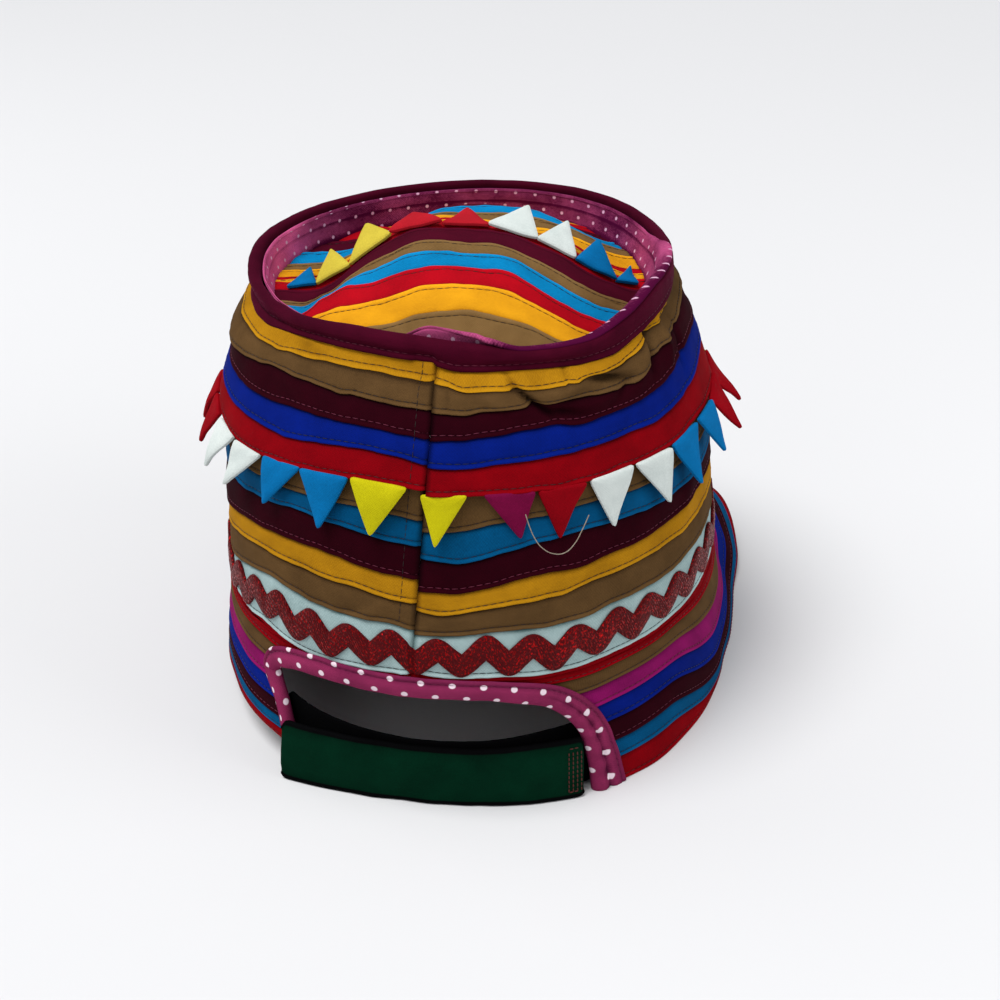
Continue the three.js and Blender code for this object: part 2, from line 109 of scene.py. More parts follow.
# Upper tier: five strips of plain cotton, yellow to red, each lapped over the next and
# topstitched just above its folded edge. The tier closes in a lapped seam at the back
# and its soft cloth creases under the rim. It hangs from the rim's binding.
MM = 0.001
wall_low, wall_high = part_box("pale_band")
WALL_MIDDLE = ((wall_low[0] + wall_high[0]) / 2, (wall_low[1] + wall_high[1]) / 2)

UPPER_WALL = [  # height, half width, half depth, shift x, shift y, rise, skew
    (108.8, 83.3, 97.4, -3.2, 0.0, 0.0, 0.0), (117.6, 80.5, 94.2, -3.7, 0.6, 0.005, 0.02),
    (125.1, 78.0, 91.0, -4.0, 1.1, 0.010, 0.03), (132.5, 75.4, 87.1, -4.4, 1.7, 0.016, 0.05),
    (138.0, 73.0, 82.9, -4.8, 2.3, 0.022, 0.10), (141.0, 69.8, 76.4, -5.2, 3.0, 0.027, 0.12),
    (150.0, 68.3, 74.0, -5.6, 3.4, 0.030, 0.13),
]


def curve_through(table, place, column):
    """Value of a column at a place between a table's rows, smooth and without overshoot."""
    last = len(table) - 1
    row = 0
    while row < last - 1 and table[row + 1][0] < place:
        row += 1

    def slope(i):
        i = min(max(i, 0), last - 1)
        return (table[i + 1][column] - table[i][column]) / (table[i + 1][0] - table[i][0])

    def bend(i):
        before, after = slope(i - 1), slope(i)
        return 0.0 if before * after <= 0 else 2 * before * after / (before + after)

    span = table[row + 1][0] - table[row][0]
    t = min(max((place - table[row][0]) / span, 0.0), 1.0)
    rest = 1 - t
    low, high = table[row][column], table[row + 1][column]
    return (low * (1 + 2 * t) * rest * rest + high * (3 - 2 * t) * t * t
            + bend(row) * span * t * rest * rest - bend(row + 1) * span * t * t * rest)


def wall_place(wall, deg, height, out):
    """A place on the wall in metres, so far out of its outer face."""
    half_w, half_d, shift_x, shift_y, rise, skew = (curve_through(wall, height, c) for c in range(1, 7))
    s, c = math.sin(math.radians(deg)), math.cos(math.radians(deg))
    away = Vector((s / half_w, -c / half_d)).normalized() * out
    x = shift_x + half_w * s + away.x
    y = shift_y - half_d * c * (1 + skew * s) + away.y
    return (x * MM + WALL_MIDDLE[0], y * MM + WALL_MIDDLE[1], (height + rise * y) * MM)


# Height of each seam at so many degrees round from the back seam, where 360 is the
# lapped left side of that seam
UPPER_SEAMS = {
    "yellow_top": [
        (0, 143.2), (6, 142.0), (16, 142.2), (28, 141.8), (38, 141.0), (48, 140.8), (56, 141.8),
        (68, 143.0), (95, 143.6), (180, 142.6), (265, 141.4), (292, 139.6), (303, 139.6), (315, 140.6),
        (324, 141.6), (334, 142.8), (345, 143.6), (360, 144.2),
    ],
    "yellow_brown": [
        (0, 138.6), (7, 138.2), (14, 138.0), (22, 137.6), (36, 137.6), (43, 137.2), (49, 137.8),
        (58, 139.6), (72, 141.4), (95, 141.8), (180, 139.2), (265, 137.0), (290, 135.8), (305, 135.8),
        (316, 136.8), (326, 138.0), (339, 139.0), (360, 139.4),
    ],
    "brown_maroon": [
        (0, 131.8), (7, 131.6), (12, 132.6), (18, 133.0), (30, 133.2), (41, 132.4), (50, 131.2),
        (56, 133.0), (69, 137.0), (90, 138.2), (130, 134.5), (180, 132.8), (250, 129.0), (288, 127.4),
        (310, 131.0), (319, 132.8), (330, 132.8), (345, 133.2), (360, 132.6),
    ],
    "maroon_blue": [
        (0, 124.4), (8, 125.2), (16, 126.2), (25, 127.0), (35, 125.4), (42, 125.6), (52, 125.8),
        (60, 126.4), (68, 128.4), (78, 130.2), (110, 128.0), (180, 125.5), (265, 121.0), (295, 121.2),
        (313, 122.8), (322, 124.2), (334, 125.6), (346, 126.0), (360, 125.0),
    ],
    "blue_red": [
        (0, 116.6), (8, 116.8), (16, 117.8), (26, 118.2), (45, 118.2), (54, 117.4), (66, 118.4),
        (77, 119.8), (90, 121.6), (120, 119.6), (180, 118.0), (265, 113.6), (300, 114.0), (312, 115.0),
        (322, 115.6), (333, 118.0), (344, 119.6), (353, 119.2), (360, 117.4),
    ],
    "red_foot": [
        (0, 108.7), (10, 109.0), (30, 108.4), (43, 108.6), (55, 108.0), (70, 109.0), (90, 108.8),
        (180, 108.8), (265, 106.4), (300, 104.8), (311, 105.6), (325, 108.4), (336, 110.0), (348, 111.2),
        (356, 110.6), (360, 110.2),
    ],
}

# One strip from its upper seam to its lower: the share of the strip's height, so many
# millimetres on from there, how far the face stands out, and its painted shade, deepest in
# the seam and at the stitches; below 0 it is a painted highlight on the folded lip
STRIP_PROFILE = [
    (0.0, 0.0, -0.62, 1.0), (0.0, 0.35, -0.54, 0.7), (0.0, 0.9, -0.34, 0.16), (0.0, 1.8, -0.14, 0.0),
    (0.35, 0.0, 0.0, 0.0), (0.5, 0.0, 0.05, 0.0), (0.65, 0.0, 0.08, 0.0), (1.0, -2.5, 0.10, 0.0),
    (1.0, -1.95, 0.0, 0.0), (1.0, -1.6, -0.13, 0.55), (1.0, -1.25, 0.04, -0.05), (1.0, -0.75, 0.24, -0.3),
    (1.0, -0.25, 0.24, -0.25), (1.0, -0.02, -0.08, 0.4),
]
FULL_STRIP = 7.5  # a strip narrower than this has its profile drawn in

SEAM_STRAY = (5.0, 0.45)  # size and depth of a seam's waver
SOFT_SWELLS = 16.0  # size of the cloth's slow swells; how deep they are depends on the tier
SMALL_PUCKERS = (5.0, 0.28)  # their size, and their depth as a share of the swells'
EDGE_PUCKERS = (2.6, 0.22)  # size and depth of the puckers beside the topstitching
DEGREE_MM = 1.5  # length of a degree round the wall

# Creases and swells of the soft cloth: where they lie in degrees and height, the slant
# they run at, how long and how wide they are, and how far they go out or in
UPPER_FOLDS = [
    (28, 134.4, -38, 9.0, 1.1, -3.2), (36, 135.6, 8, 9.0, 2.4, 1.9), (20, 135.0, -20, 8.0, 2.4, 1.6),
    (36, 129.4, -12, 7.0, 1.5, -2.6), (49, 135.2, -12, 8.0, 1.2, -3.4), (60, 135.0, 40, 7.5, 2.6, 1.8),
    (43, 130.6, 4, 12.0, 2.2, 1.7), (53, 131.2, 20, 6.0, 1.2, -1.4), (9, 137.0, 80, 3.2, 0.9, -1.4),
    (13, 138.2, -10, 4.0, 1.0, 1.2), (25, 139.4, 85, 2.6, 0.6, -1.7), (38, 139.2, 80, 2.6, 0.6, -1.5),
    (40.5, 139.2, 85, 2.6, 0.7, 1.0), (31, 139.6, 0, 6.0, 0.9, 0.9), (66, 138.0, 62, 8.0, 1.3, -2.8),
    (72, 136.0, 70, 8.0, 2.6, 2.2), (78, 132.0, 74, 8.0, 1.2, -1.6), (-64, 131.0, 4, 26.0, 5.0, 2.6),
    (-30, 139.2, -4, 16.0, 1.2, -1.2), (-22, 136.4, -3, 18.0, 1.8, 0.9),
    (-36, 128.0, -8, 14.0, 3.2, -0.9), (-14, 134.5, 50, 4.5, 0.9, -0.7), (-8, 129.5, 0, 8.0, 3.0, -0.6),
    (18, 122.0, 4, 16.0, 3.0, 0.6), (60, 121.0, 6, 14.0, 3.0, -0.6), (24, 112.5, -8, 10.0, 2.2, -0.5),
    (110, 132.0, -15, 14.0, 2.0, -1.8), (140, 135.0, 30, 10.0, 1.6, 1.6),
    (175, 133.0, -25, 12.0, 1.5, -2.0), (200, 130.0, 15, 14.0, 2.5, 1.6),
    (235, 134.0, -20, 12.0, 1.6, -1.8), (262, 131.0, 12, 14.0, 2.4, 1.4),
]
BACK_RADIUS = 84.0


def folds_at(folds, deg, height):
    """How far the creases and swells near a place move it out."""
    out = 0.0
    for at_deg, at_height, slant, long, wide, depth in folds:
        along = math.radians((deg - at_deg + 180) % 360 - 180) * BACK_RADIUS
        if abs(along) > 2.6 * long + 4:
            continue
        up = height - at_height
        c, s = math.cos(math.radians(slant)), math.sin(math.radians(slant))
        u, v = (along * c + up * s) / long, (up * c - along * s) / wide
        out += depth * math.exp(-u * u - v * v)
    return out


def ripple(x, y, z, size, depth):
    """Slow unevenness of a soft surface, in millimetres, at a place in millimetres."""
    return depth * noise.noise(Vector((x, y, z)) / size)


# The left side's fold laps over the back seam, so wide and so proud, and the right side
# dips under it within so many millimetres
LAP_WIDE, LAP_PROUD, LAP_RISE = 5.5, 0.45, 1.5
DIP_WIDE, DIP_DEEP = 2.0, 0.45


def lap_at(turn):
    """How far the cloth stands out beside the back seam, and its painted shade in and beside the seam, by
    its turn.
    """
    right = math.radians(turn) * BACK_RADIUS
    left = math.radians(360 - turn) * BACK_RADIUS
    if right < DIP_WIDE:
        shade = 0.8 * max(0.0, 1 - right / 0.9)
        return -DIP_DEEP * (1 - right / DIP_WIDE), shade
    if left < LAP_WIDE:
        folded_edge = -0.9 * max(0.0, 1 - left / 0.5)
        shade = 0.6 * max(0.0, 1 - left / 0.6)
        return LAP_PROUD * min(1.0, (LAP_WIDE - left) / LAP_RISE) + folded_edge, shade
    return 0.0, 0.0


def strip_tier(wall, seams, folds, back_seam, columns, soft):
    """Rows of places down a tier of lapped strips, with the strip of each row and the painted shading of
    each place.
    """
    lines = list(seams.values())
    grid, strips, painted_shading = [], [], []
    turns = [360.0 * j / columns for j in range(columns + 1)]
    edges = [[curve_through(line, turn, 1) + ripple(turn, 7.0 * k, 0, *SEAM_STRAY) for turn in turns]
             for k, line in enumerate(lines)]
    for strip in range(len(lines) - 1):
        for share, extra, out, depth in STRIP_PROFILE:
            row, row_painted_shading = [], []
            for j, turn in enumerate(turns):
                top, foot = edges[strip][j], edges[strip + 1][j]
                tall = top - foot
                drawn = min(1.0, tall / FULL_STRIP)
                height = top - share * tall - extra * drawn
                deg = curve_through(back_seam, height, 1) + turn
                x, y = turn * DEGREE_MM, height
                from_edge = min(share * tall + abs(extra), (1 - share) * tall + abs(extra))
                near_edge = 1.0 - min(1.0, from_edge / 3.0)
                lap, lap_painted_shade = lap_at(turn)
                swell = folds_at(folds, deg if deg < 260 else deg - 360, height)
                loose = (ripple(x, y, 11, SOFT_SWELLS, soft)
                         + ripple(x, y * 1.6, 3, SMALL_PUCKERS[0], SMALL_PUCKERS[1] * soft)
                         + ripple(x, y * 0.7, 8, EDGE_PUCKERS[0], EDGE_PUCKERS[1] * near_edge))
                place = wall_place(wall, deg, height, out * drawn + swell + loose + lap)
                row.append(place)
                # Painted shade in the creases that fold in.
                painted_crease_shade = min(0.8, max(0.0, -swell - 0.4) / 2.4)
                row_painted_shading.append(min(1.0, depth + lap_painted_shade + painted_crease_shade))
            grid.append(row)
            strips.append(strip)
            painted_shading.append(row_painted_shading)
    return np.array(grid), strips, np.array(painted_shading)


def cloth_mesh(name, grid, strips, painted_shading, closed=False):
    """A piece of cloth from rows of places: its outer face, with a UV map in millimetres
    and an attribute of painted shading: painted shade in seams and folds, painted highlight below 0."""
    rows, columns = grid.shape[:2]
    spans = columns if closed else columns - 1
    mesh = bpy.data.meshes.new(name)
    faces = []
    for i in range(rows - 1):
        for j in range(spans):
            k = (j + 1) % columns
            faces.append((i * columns + j, (i + 1) * columns + j, (i + 1) * columns + k, i * columns + k))
    mesh.from_pydata([tuple(p) for p in grid.reshape(-1, 3)], [], faces)
    across = np.linalg.norm(np.diff(grid, axis=1), axis=2).mean(axis=0) / MM
    down = np.linalg.norm(np.diff(grid, axis=0), axis=2).mean(axis=1) / MM
    u = np.append(np.concatenate([[0], np.cumsum(across)]), across.sum() + across.mean())
    v = np.concatenate([[0], np.cumsum(down)])
    uvs = mesh.uv_layers.new(name="cloth")
    flat = []
    for i in range(rows - 1):
        for j in range(spans):
            flat += [u[j], -v[i], u[j], -v[i + 1], u[j + 1], -v[i + 1], u[j + 1], -v[i]]
    uvs.data.foreach_set("uv", flat)
    # Painted shading: painted shade in seams and folds, painted highlight where below 0.
    deep = mesh.attributes.new("painted_seam_shading", "FLOAT", "POINT")
    deep.data.foreach_set("value", np.asarray(painted_shading, dtype=float).reshape(-1))
    mesh.polygons.foreach_set("material_index", [strips[i] for i in range(rows - 1) for _ in range(spans)])
    mesh.polygons.foreach_set("use_smooth", [True] * len(faces))
    piece = bpy.data.objects.new(name, mesh)
    bpy.context.scene.collection.objects.link(piece)
    return piece


FLOOR_GAP = 0.00005  # nothing comes nearer the floor than this, in metres
EVENING = 8  # rounds of evening out the normals before the cloth gets its thickness


def thicken(piece, thick):
    """Gives cloth its thickness towards the inside, along evened-out normals so that the
    inner face never comes through a fold, and keeps it on the floor."""
    faces_out = np.array([n.vector for n in piece.data.vertex_normals])
    outer = np.array([v.co for v in piece.data.vertices])
    ends = np.array([e.vertices[:] for e in piece.data.edges])
    for _ in range(EVENING):
        blend = faces_out.copy()
        np.add.at(blend, ends[:, 0], faces_out[ends[:, 1]])
        np.add.at(blend, ends[:, 1], faces_out[ends[:, 0]])
        faces_out = blend / np.linalg.norm(blend, axis=1)[:, None]
    bpy.ops.object.select_all(action="DESELECT")
    bpy.context.view_layer.objects.active = piece
    piece.select_set(True)
    wall = piece.modifiers.new("cloth", "SOLIDIFY")
    wall.thickness = thick * MM
    wall.offset = -1.0
    bpy.ops.object.modifier_apply(modifier="cloth")
    for vertex, place in zip(piece.data.vertices, np.concatenate([outer, outer - faces_out * thick * MM])):
        vertex.co = (place[0], place[1], max(place[2], FLOOR_GAP))


def cloth_piece(name, made, dyes, thick, closed=False):
    """A finished piece of cloth from its rows, with a dye for each strip."""
    piece = cloth_mesh(name, *made, closed)
    for dye in dyes:
        piece.data.materials.append(dye)
    thicken(piece, thick)
    return piece


def put(tree, kind, feeds=None, **settings):
    """A new node in a tree, with its settings and what feeds its inputs."""
    node = tree.nodes.new("ShaderNode" + kind)
    for setting, value in settings.items():
        setattr(node, setting, value)
    feed(tree, node, feeds or {})
    return node


def new_group(name, takes, gives):
    """A node group whose inputs and outputs are given as names, kinds and usual values."""
    group = bpy.data.node_groups.new(name, "ShaderNodeTree")
    for way, sockets in (("INPUT", takes), ("OUTPUT", gives)):
        for label, kind, *usual in sockets:
            socket = group.interface.new_socket(label, in_out=way, socket_type="NodeSocket" + kind)
            if usual:
                socket.default_value = usual[0]
    return group, group.nodes.new("NodeGroupInput").outputs, group.nodes.new("NodeGroupOutput")


def math_in(tree):
    """Arithmetic in a tree: each call puts in a node for one step."""
    def step(kind, *values, clamp=False):
        return put(tree, "Math", dict(enumerate(values)), operation=kind, use_clamp=clamp).outputs[0]
    return step


def weave_group():
    """Plain weave: fine crossing threads with uneven yarn, on a map in millimetres, darkened by painted
    shade and, below 0, lightened by painted highlight.
    """
    group, given, made = new_group(
        "plain_weave",
        [("Map", "Vector"), ("Thread", "Float", 0.45), ("Cloth", "Color"), ("Shade", "Color"),
         ("Depth", "Float")],
        [("Colour", "Color"), ("Roughness", "Float"), ("Height", "Float")],
    )
    step = math_in(group)
    split = put(group, "SeparateXYZ", {0: given["Map"]}).outputs
    turn = step("DIVIDE", math.pi, given["Thread"])
    across = step("SINE", step("MULTIPLY", split["X"], turn))
    down = step("SINE", step("MULTIPLY", split["Y"], turn))
    cross = step("MULTIPLY", across, down)
    yarn = put(group, "TexNoise", {"Vector": given["Map"], "Scale": 1.6, "Detail": 3.0}).outputs["Fac"]
    patch = put(group, "TexNoise", {"Vector": given["Map"], "Scale": 0.07, "Detail": 4.0, "Roughness": 0.6})
    worn = step("ADD", step("MULTIPLY", patch.outputs["Fac"], 0.9), step("MULTIPLY", yarn, 0.5))
    worn = step("ADD", worn, step("MULTIPLY", cross, 0.10))
    worn = step("SUBTRACT", worn, 0.05, clamp=True)
    # Painted shade and painted highlight from the painted shading, on top of the wear's random tone.
    lit = step("SUBTRACT", worn, step("MULTIPLY", given["Depth"], 0.85), clamp=True)
    mix = put(group, "Mix", {"Factor": lit, "A": given["Shade"], "B": given["Cloth"]}, data_type="RGBA")
    feed(group, made, {
        "Colour": mix.outputs["Result"],
        "Roughness": step("ADD", step("MULTIPLY", yarn, 0.2), 0.72),
        "Height": step("ADD", step("MULTIPLY", cross, 0.35), step("MULTIPLY", yarn, 0.9)),
    })
    return group


PLAIN_WEAVE = weave_group()


def srgb(code):
    """A colour from its six hexadecimal digits, as Blender keeps it."""
    parts = [int(code[i:i + 2], 16) / 255 for i in (0, 2, 4)]
    return tuple(p / 12.92 if p <= 0.04045 else ((p + 0.055) / 1.055) ** 2.4 for p in parts) + (1.0,)


def cotton(name, cloth, shade, thread=0.45):
    """Plain woven cotton of one dye, with painted shade in its seams and folds and painted highlights on
    its folded lips.
    """
    material, tree, shader = new_material(name)
    weave = put(tree, "Group", {
        "Map": put(tree, "UVMap", uv_map="cloth").outputs["UV"],
        "Depth": put(tree, "Attribute", attribute_name="painted_seam_shading").outputs["Fac"],
        "Thread": thread, "Cloth": srgb(cloth), "Shade": srgb(shade),
    }, node_tree=PLAIN_WEAVE).outputs
    bump = put(tree, "Bump", {"Strength": 0.5, "Distance": 0.00012, "Height": weave["Height"]})
    feed(tree, shader, {"Base Color": weave["Colour"], "Roughness": weave["Roughness"],
                        "Normal": bump.outputs["Normal"], "Specular IOR Level": 0.02})
    return material


# Wall dyes: darker copies of the top's dyes, with painted shade for the upright wall.
SHADED_YELLOW = cotton("yellow_cotton", "B88214", "6A440A")
SHADED_BROWN = cotton("brown_cotton_painted_shade", "62482A", "302112")
SHADED_MAROON = cotton("maroon_cotton", "2E030E", "140106")
ROYAL_BLUE = cotton("royal_blue_cotton", "061E7E", "030F48")
SHADED_RED = cotton("red_cotton", "8C030E", "4A0207")

# Where the back seam is: height, degree
UPPER_BACK_SEAM = [(104, 4.2), (110, 4.4), (124, 5.0), (146, 5.4)]
TIER_COLUMNS = 320
upper_rows = strip_tier(UPPER_WALL, UPPER_SEAMS, UPPER_FOLDS, UPPER_BACK_SEAM, TIER_COLUMNS, 0.45)
upper_tier = cloth_piece("upper_tier", upper_rows, (SHADED_YELLOW, SHADED_BROWN, SHADED_MAROON, ROYAL_BLUE, SHADED_RED), 1.6)
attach(upper_tier, "root")
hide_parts("upper_crown")


# Lower tier: five more strips of the same cotton, sewn in the same way and tighter, so
# that it comes out straight and smooth from under the pennants.
LOWER_WALL = [
    (49.7, 85.0, 104.6, 0.0, 0.0, 0.0, 0.0), (64.7, 84.4, 102.3, -0.8, 0.0, 0.0, 0.0),
    (82.0, 83.6, 99.3, -1.7, 0.0, 0.0, 0.0), (100.0, 82.8, 96.3, -2.7, 0.0, 0.0, 0.0),
    (108.8, 82.4, 95.0, -3.2, 0.0, 0.0, 0.0),
]
LOWER_SEAMS = {
    "brown_top": [
        (0, 109.6), (180, 109.6), (260, 108.0), (300, 106.5), (320, 108.5), (340, 111.5), (360, 111.0),
    ],
    "brown_blue": [
        (0, 96.0), (8, 97.2), (16, 99.2), (24, 99.8), (34, 100.8), (49, 99.2), (64, 98.4), (95, 100.0),
        (180, 100.0), (265, 97.0), (300, 96.0), (325, 99.5), (345, 101.5), (356, 100.8), (360, 100.0),
    ],
    "blue_maroon": [
        (0, 88.0), (8, 87.0), (16, 89.4), (25, 91.6), (34, 92.4), (44, 91.6), (56, 90.0), (69, 90.0),
        (95, 91.5), (180, 92.0), (265, 87.0), (305, 87.6), (319, 91.0), (332, 94.2), (344, 94.0),
        (354, 92.6), (360, 92.0),
    ],
    "maroon_yellow": [
        (0, 77.8), (8, 77.6), (16, 79.6), (24, 81.4), (33, 81.0), (43, 82.0), (54, 81.8), (64, 82.2),
        (74, 83.2), (100, 82.0), (180, 81.8), (260, 77.0), (292, 72.5), (303, 76.0), (314, 80.2),
        (326, 83.0), (338, 84.4), (349, 82.8), (360, 81.6),
    ],
    "yellow_brown": [
        (0, 71.2), (5, 70.3), (12, 71.8), (20, 73.2), (30, 73.6), (39, 75.3), (50, 75.2), (60, 74.5),
        (70, 74.5), (100, 74.5), (180, 74.0), (260, 70.5), (292, 64.8), (307, 70.0), (322, 74.8),
        (334, 76.0), (345, 75.8), (354, 74.2), (360, 73.8),
    ],
    "brown_band": [
        (0, 63.5), (9, 64.0), (17, 65.0), (25, 64.2), (34, 64.0), (44, 65.0), (60, 64.2), (73, 65.0),
        (100, 64.7), (180, 64.7), (260, 61.0), (292, 54.5), (313, 63.0), (325, 67.2), (337, 66.2),
        (345, 66.2), (354, 66.4), (360, 65.0),
    ],
}
LOWER_FOLDS = [
    (-40, 90.0, -6, 18.0, 5.0, -0.8), (-62, 76.0, -10, 16.0, 5.0, 0.8), (-20, 78.0, -8, 12.0, 1.6, 0.5),
    (-12, 69.0, 30, 6.0, 1.4, -0.8), (-7, 70.0, 40, 5.0, 1.4, 0.7), (32, 78.0, 8, 20.0, 4.0, 0.5),
    (52, 90.0, 12, 12.0, 4.0, -0.6), (70, 84.0, 60, 10.0, 4.0, 0.8), (130, 84.0, 20, 16.0, 5.0, 0.8),
    (175, 92.0, -12, 18.0, 5.0, -0.9), (215, 78.0, 16, 16.0, 5.0, 0.8), (255, 88.0, -20, 14.0, 4.0, -0.8),
]
LOWER_BACK_SEAM = [(48, 0.2), (64, 1.0), (82, 2.2), (98, 3.2), (112, 4.2)]
lower_rows = strip_tier(LOWER_WALL, LOWER_SEAMS, LOWER_FOLDS, LOWER_BACK_SEAM, TIER_COLUMNS, 0.4)
# A darker copy of the top's light blue, with painted shade for the wall.
SHADED_LIGHT_BLUE = cotton("light_blue_cotton", "045484", "02283F")
lower_tier = cloth_piece("lower_tier", lower_rows, (SHADED_BROWN, SHADED_LIGHT_BLUE, SHADED_MAROON, SHADED_YELLOW, SHADED_BROWN), 1.6)
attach(lower_tier, "root")
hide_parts("lower_crown")


# Pale band: one strip of pale cotton at the foot of the crown, lapped under the brown
# strip above it and sewn to the brim below.
BAND_SEAMS = {
    "band_top": LOWER_SEAMS["brown_band"],
    "band_foot": [
        (0, 50.8), (9, 50.3), (17, 50.0), (27, 48.6), (36, 48.0), (60, 47.9), (74, 47.6), (88, 49.6),
        (180, 49.7), (262, 48.0), (300, 45.6), (311, 46.8), (321, 48.6), (333, 47.8), (348, 49.4),
        (356, 50.4), (360, 50.8),
    ],
}
band_rows = strip_tier(LOWER_WALL, BAND_SEAMS, [], LOWER_BACK_SEAM, TIER_COLUMNS, 0.3)
band = cloth_piece("pale_band_cloth", band_rows, (cotton("pale_cotton", "ACC2C2", "5E7878"),), 1.6)
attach(band, "root")
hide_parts("pale_band")


# Braid: a red zigzag tape with glitter in it, sewn flat round the pale band, so that
# pale triangles show above and below it.
BRAID_WAVES, BRAID_MIDDLE, BRAID_SWING, BRAID_WIDE, BRAID_PITCH = 37, 57.6, 2.9, 7.2, 14.6
BRAID_CREST = -3.8  # degree of the crest that the waves are counted from
BRAID_STEPS = 20  # places along a wave
BRAID_TURNS = 0.96  # how near its turns come to sharp corners, where 1 is sharp
BRAID_JOIN, BRAID_CAUGHT = 0.7, 1.1  # degree where its two ends are caught in the back seam, how deep
BRAID_UNEVEN = (9.0, 0.16)  # size and depth of the unevenness of its width
BRAID_STRAY = (7.0, 0.6)  # the same of its height on the band
BRAID_GRAIN = (2.0, 0.2)  # the same of its face
BRAID_PROFILE = [  # share of half its width from its middle, how far out
    (1.0, 0.1), (0.99, 0.7), (0.86, 1.05), (0.5, 1.2), (0.0, 1.25), (-0.5, 1.2), (-0.86, 1.05),
    (-0.99, 0.7), (-1.0, 0.1),
]


def band_middle(deg):
    """How much the band's middle is above or below its usual height."""
    turn = deg % 360
    top = curve_through(BAND_SEAMS["band_top"], turn, 1)
    foot = curve_through(BAND_SEAMS["band_foot"], turn, 1)
    return 0.5 * (top + foot) - BRAID_MIDDLE


def zigzag(waves):
    """Upper and lower edge of a tape of one width that swings up and down."""
    upper, lower = -99.0, 99.0
    for k in range(-8, 9):
        beside = k / 8 * BRAID_WIDE / 2
        swing = math.cos(2 * math.pi * (waves + beside / BRAID_PITCH))
        wave = math.asin(BRAID_TURNS * swing) / math.asin(BRAID_TURNS)
        reach = math.sqrt(max(0.0, (BRAID_WIDE / 2) ** 2 - beside ** 2))
        upper = max(upper, BRAID_SWING * wave + reach)
        lower = min(lower, BRAID_SWING * wave - reach)
    return upper, lower


def braid_rows():
    """Rows of places round the band, from the braid's upper edge to its lower."""
    columns = BRAID_WAVES * BRAID_STEPS
    grid = [[] for _ in BRAID_PROFILE]
    for j in range(columns):
        deg = BRAID_CREST + 360.0 * j / columns
        upper, lower = zigzag(j / BRAID_STEPS)
        size = 1 + ripple(deg, 0, 6, *BRAID_UNEVEN)
        middle = BRAID_MIDDLE + band_middle(deg) + ripple(deg, 3.0, 0, *BRAID_STRAY)
        notch = BRAID_CAUGHT * max(0.0, 1 - abs(deg - BRAID_JOIN) / 0.9)
        for row, (share, out) in zip(grid, BRAID_PROFILE):
            height = middle + size * (0.5 * (upper + lower) + 0.5 * share * (upper - lower))
            grain = ripple(deg, height, 5, *BRAID_GRAIN)
            row.append(wall_place(LOWER_WALL, deg, height, out - notch + grain))
    # Painted shade at the braid's edges; the glitter material does not read it.
    painted_shading = [[max(0.0, abs(share) - 0.7) * 1.6] * columns for share, _ in BRAID_PROFILE]
    return np.array(grid), [0] * len(grid), np.array(painted_shading)


def glitter_group():
    """Fine flakes, each of its own brightness and lie, on a map in millimetres."""
    group, given, made = new_group(
        "glitter",
        [("Map", "Vector"), ("Flakes", "Float", 2.4), ("Thread", "Color"), ("Flake", "Color")],
        [("Colour", "Color"), ("Metal", "Float"), ("Roughness", "Float"), ("Height", "Float")],
    )
    cells = put(group, "TexVoronoi", {"Vector": given["Map"], "Scale": given["Flakes"]}).outputs["Color"]
    parts = put(group, "SeparateColor", {"Color": cells}).outputs
    lie = parts["Red"]
    bright = put(group, "MapRange", {"Value": lie, "From Min": 0.72, "From Max": 0.98}).outputs["Result"]
    rough = put(group, "MapRange", {"Value": lie, "To Min": 0.75, "To Max": 0.3}).outputs["Result"]
    mix = put(group, "Mix", {"Factor": bright, "A": given["Thread"], "B": given["Flake"]}, data_type="RGBA")
    feed(group, made, {"Colour": mix.outputs["Result"], "Metal": bright, "Roughness": rough,
                       "Height": parts["Green"]})
    return group


glitter, glitter_tree, glitter_shader = new_material("glitter_braid")
braid_map = put(glitter_tree, "UVMap", uv_map="cloth").outputs["UV"]
flakes = put(glitter_tree, "Group", {
    "Map": braid_map, "Flakes": 2.1, "Thread": srgb("4E0106"), "Flake": srgb("A81212"),
}, node_tree=glitter_group()).outputs
yarns = put(glitter_tree, "TexWave", {"Vector": braid_map, "Scale": 0.35, "Distortion": 3.0},
            bands_direction="DIAGONAL").outputs["Fac"]
braid_height = math_in(glitter_tree)("ADD", flakes["Height"], yarns)
braid_bump = put(glitter_tree, "Bump", {"Strength": 0.8, "Distance": 0.0003, "Height": braid_height})
feed(glitter_tree, glitter_shader, {
    "Base Color": flakes["Colour"], "Metallic": flakes["Metal"], "Roughness": flakes["Roughness"],
    "Normal": braid_bump.outputs["Normal"], "Specular IOR Level": 0.1,
})

braid = cloth_piece("glitter_zigzag", braid_rows(), (glitter,), 0.6, closed=True)
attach(braid, "root")
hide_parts("zigzag_braid")


